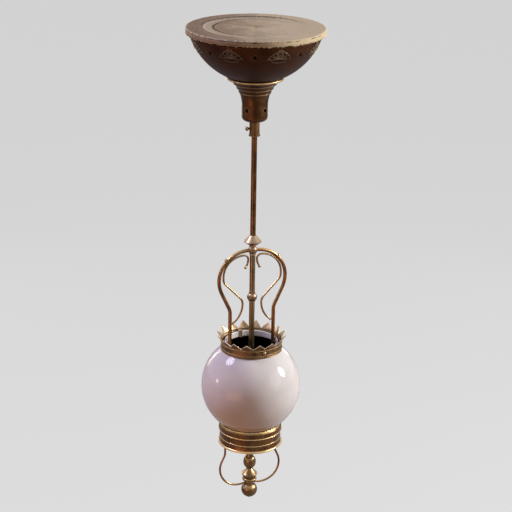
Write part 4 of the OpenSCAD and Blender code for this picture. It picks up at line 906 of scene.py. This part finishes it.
# Painted glint on the pearl tops, painted shade between them.
pearl_glint_and_shade_mark = mark_value(tree, "pearl")
brown = blend_colour(tree, steps(tree, pearl_glint_and_shade_mark, 0.15, 0.8, 0.0, 0.85), brown, srgb(206, 168, 108))
brown = blend_colour(tree, steps(tree, pearl_glint_and_shade_mark, -0.6, -0.1, 0.95, 0.0), brown, srgb(40, 20, 8))
shade = close_dark(tree, 0.0035)
brown = blend_colour(tree, reckon(tree, "MULTIPLY", shade, 0.8), brown, srgb(50, 28, 14))
finish_material(tree, {
    "Base Color": brown,
    "Metallic": steps(tree, shade, 0.0, 1.0, 0.7, 0.3),
    "Roughness": steps(tree, speck, 0.4, 0.7, 0.32, 0.5),
}, speck, 0.00012)
coat(crown, crown_brass)
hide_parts("crown_ring")
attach(crown, "lantern")
clip_brass = aged_metal("clip_brass", srgb(60, 40, 24), srgb(134, 108, 82), srgb(214, 190, 156),
                        rough=0.4, metal=0.7, wear=0.8)
dress(clip_brass, "crown_clips")

# The gallery: spun brass that carries the globe, its lip, ring and foot rolled and rubbed bright, with a
# painted highlight on them too, its wall brown with streaks down it. A felt ring lies in it under the glass.
GALLERY_RINGS = (
    # height, half the width, wear and painted highlight
    (-813.1, 1.2, 0.95), (-827.4, 1.2, 0.95), (-843.0, 0.9, 0.9), (-855.9, 2.4, 0.95),
)
STREAKED = (1, 1, 0.08)
gallery_brass = aged_metal("gallery_brass", srgb(42, 20, 8), srgb(108, 74, 42), srgb(232, 198, 142),
                           rough=0.27, metal=0.85, wear=1.0, draw=STREAKED, top=0.3, rings=GALLERY_RINGS)
dress(gallery_brass, "gallery")
felt, tree, place = new_material("pressed_felt")
fibre = noise(tree, place, 1500, 5, 0.8, (1, 1, 0.4))
tuft = noise(tree, place, 260, 4, 0.6)
green = blend_colour(tree, steps(tree, fibre, 0.3, 0.7), srgb(56, 70, 52), srgb(86, 100, 78))
green = blend_colour(tree, steps(tree, tuft, 0.45, 0.7, 0.0, 0.5), green, srgb(112, 116, 98))
finish_material(tree, {
    "Base Color": green,
    "Roughness": 0.95,
    "Sheen Weight": 0.5,
    "Sheen Roughness": 0.5,
}, fibre, 0.0004)
dress(felt, "felt_ring")

# The finial: a turned spindle with a barrel-shaped bulb, a waist, a cone that spreads to a sharp rim,
# a saucer and a ring, then the wire loops' collar, a washer, and the ball nut that holds it all up.
FINIAL_TOP_Z = -837.2
FINIAL_FOOT_Z = -950.5
FINIAL_BORE_R = 4.06
FINIAL_RING_Z = -944.9
FINIAL_RING_R = 15.0
FINIAL_RING_ROOT_R = 12.0
FINIAL_RING_HALF = 3.0
FINIAL_SHARP_EDGE = math.radians(50)
finial_points = np.array([
    # radius, height
    [11.2, FINIAL_TOP_Z], [11.2, -840.0], [7.2, -840.2], [7.2, -870.0], [7.2, -894.4],
    [7.3, -894.6], [8.8, -894.7], [9.7, -895.2], [10.7, -896.7], [11.7, -899.2], [12.6, -902.6],
    [12.9, -906.0], [12.7, -909.4], [11.9, -912.6], [10.4, -915.4], [8.4, -917.6], [6.7, -919.0],
    [6.0, -920.0], [6.1, -921.0], [7.2, -922.6], [9.1, -924.8], [11.4, -927.2], [13.8, -929.6],
    [15.7, -931.3], [16.4, -931.9], [16.6, -932.5], [16.4, -933.1], [15.9, -934.0], [14.9, -936.0],
    [13.8, -938.4], [12.9, -940.2], [12.2, -940.7], [12.0, -941.3], [12.1, -941.9],
])


def curve_through(points, between):
    """A smooth curve through points. Between b and c, with a before and d after them, it is
    (2b + (c - a)t + (2a - 5b + 4c - d)t^2 + (3b - a - 3c + d)t^3) / 2 for t from 0 to 1."""
    a = np.vstack([points[:1], points[:-2]])[:, None]
    b, c = points[:-1, None], points[1:, None]
    d = np.vstack([points[2:], points[-1:]])[:, None]
    t = (np.arange(between) / between)[None, :, None]
    curve = (2 * b + (c - a) * t + (2 * a - 5 * b + 4 * c - d) * t**2 + (3 * b - a - 3 * c + d) * t**3) / 2
    return np.vstack([curve.reshape(-1, points.shape[1]), points[-1:]])


ring_turn = np.linspace(np.pi / 2, -np.pi / 2, 17)[:, None]
finial_ring = np.hstack([
    FINIAL_RING_ROOT_R + (FINIAL_RING_R - FINIAL_RING_ROOT_R) * np.cos(ring_turn),
    FINIAL_RING_Z + FINIAL_RING_HALF * np.sin(ring_turn),
])
finial_end = np.array([
    [10.0, -948.2], [10.0, FINIAL_FOOT_Z], [FINIAL_BORE_R, FINIAL_FOOT_Z], [FINIAL_BORE_R, FINIAL_TOP_Z],
])
finial_curve = curve_through(finial_points[5:], between=4)
finial_profile = np.vstack([finial_points[:5], finial_curve, finial_ring, finial_end])
finial_places = lathe(finial_profile[:, :1], finial_profile[:, 1:], round_turns(128))
finial = grid_mesh("turned_finial", finial_places, loop_rows=True)
finial.data.set_sharp_from_angle(angle=FINIAL_SHARP_EDGE)
# The finial's upper sides are paler: a painted highlight.
finial_brass = aged_metal("finial_brass", srgb(46, 25, 11), srgb(122, 90, 54), srgb(226, 194, 146),
                          rough=0.25, metal=0.85, wear=0.9, draw=TURNED, top=0.55)
coat(finial, finial_brass)
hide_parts("finial_spindle")
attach(finial, "lantern")
dress(finial_brass, "loop_collar", "nut_washer", "ball_nut")
# The loops are paler on their tops: a painted highlight, as on the harp.
loop_brass = aged_metal("loop_brass", srgb(70, 36, 13), srgb(142, 92, 46), srgb(234, 200, 146),
                        rough=0.25, metal=0.85, wear=0.6, draw=BENT, top=0.8)
dress(loop_brass, "loop_left", "loop_right")
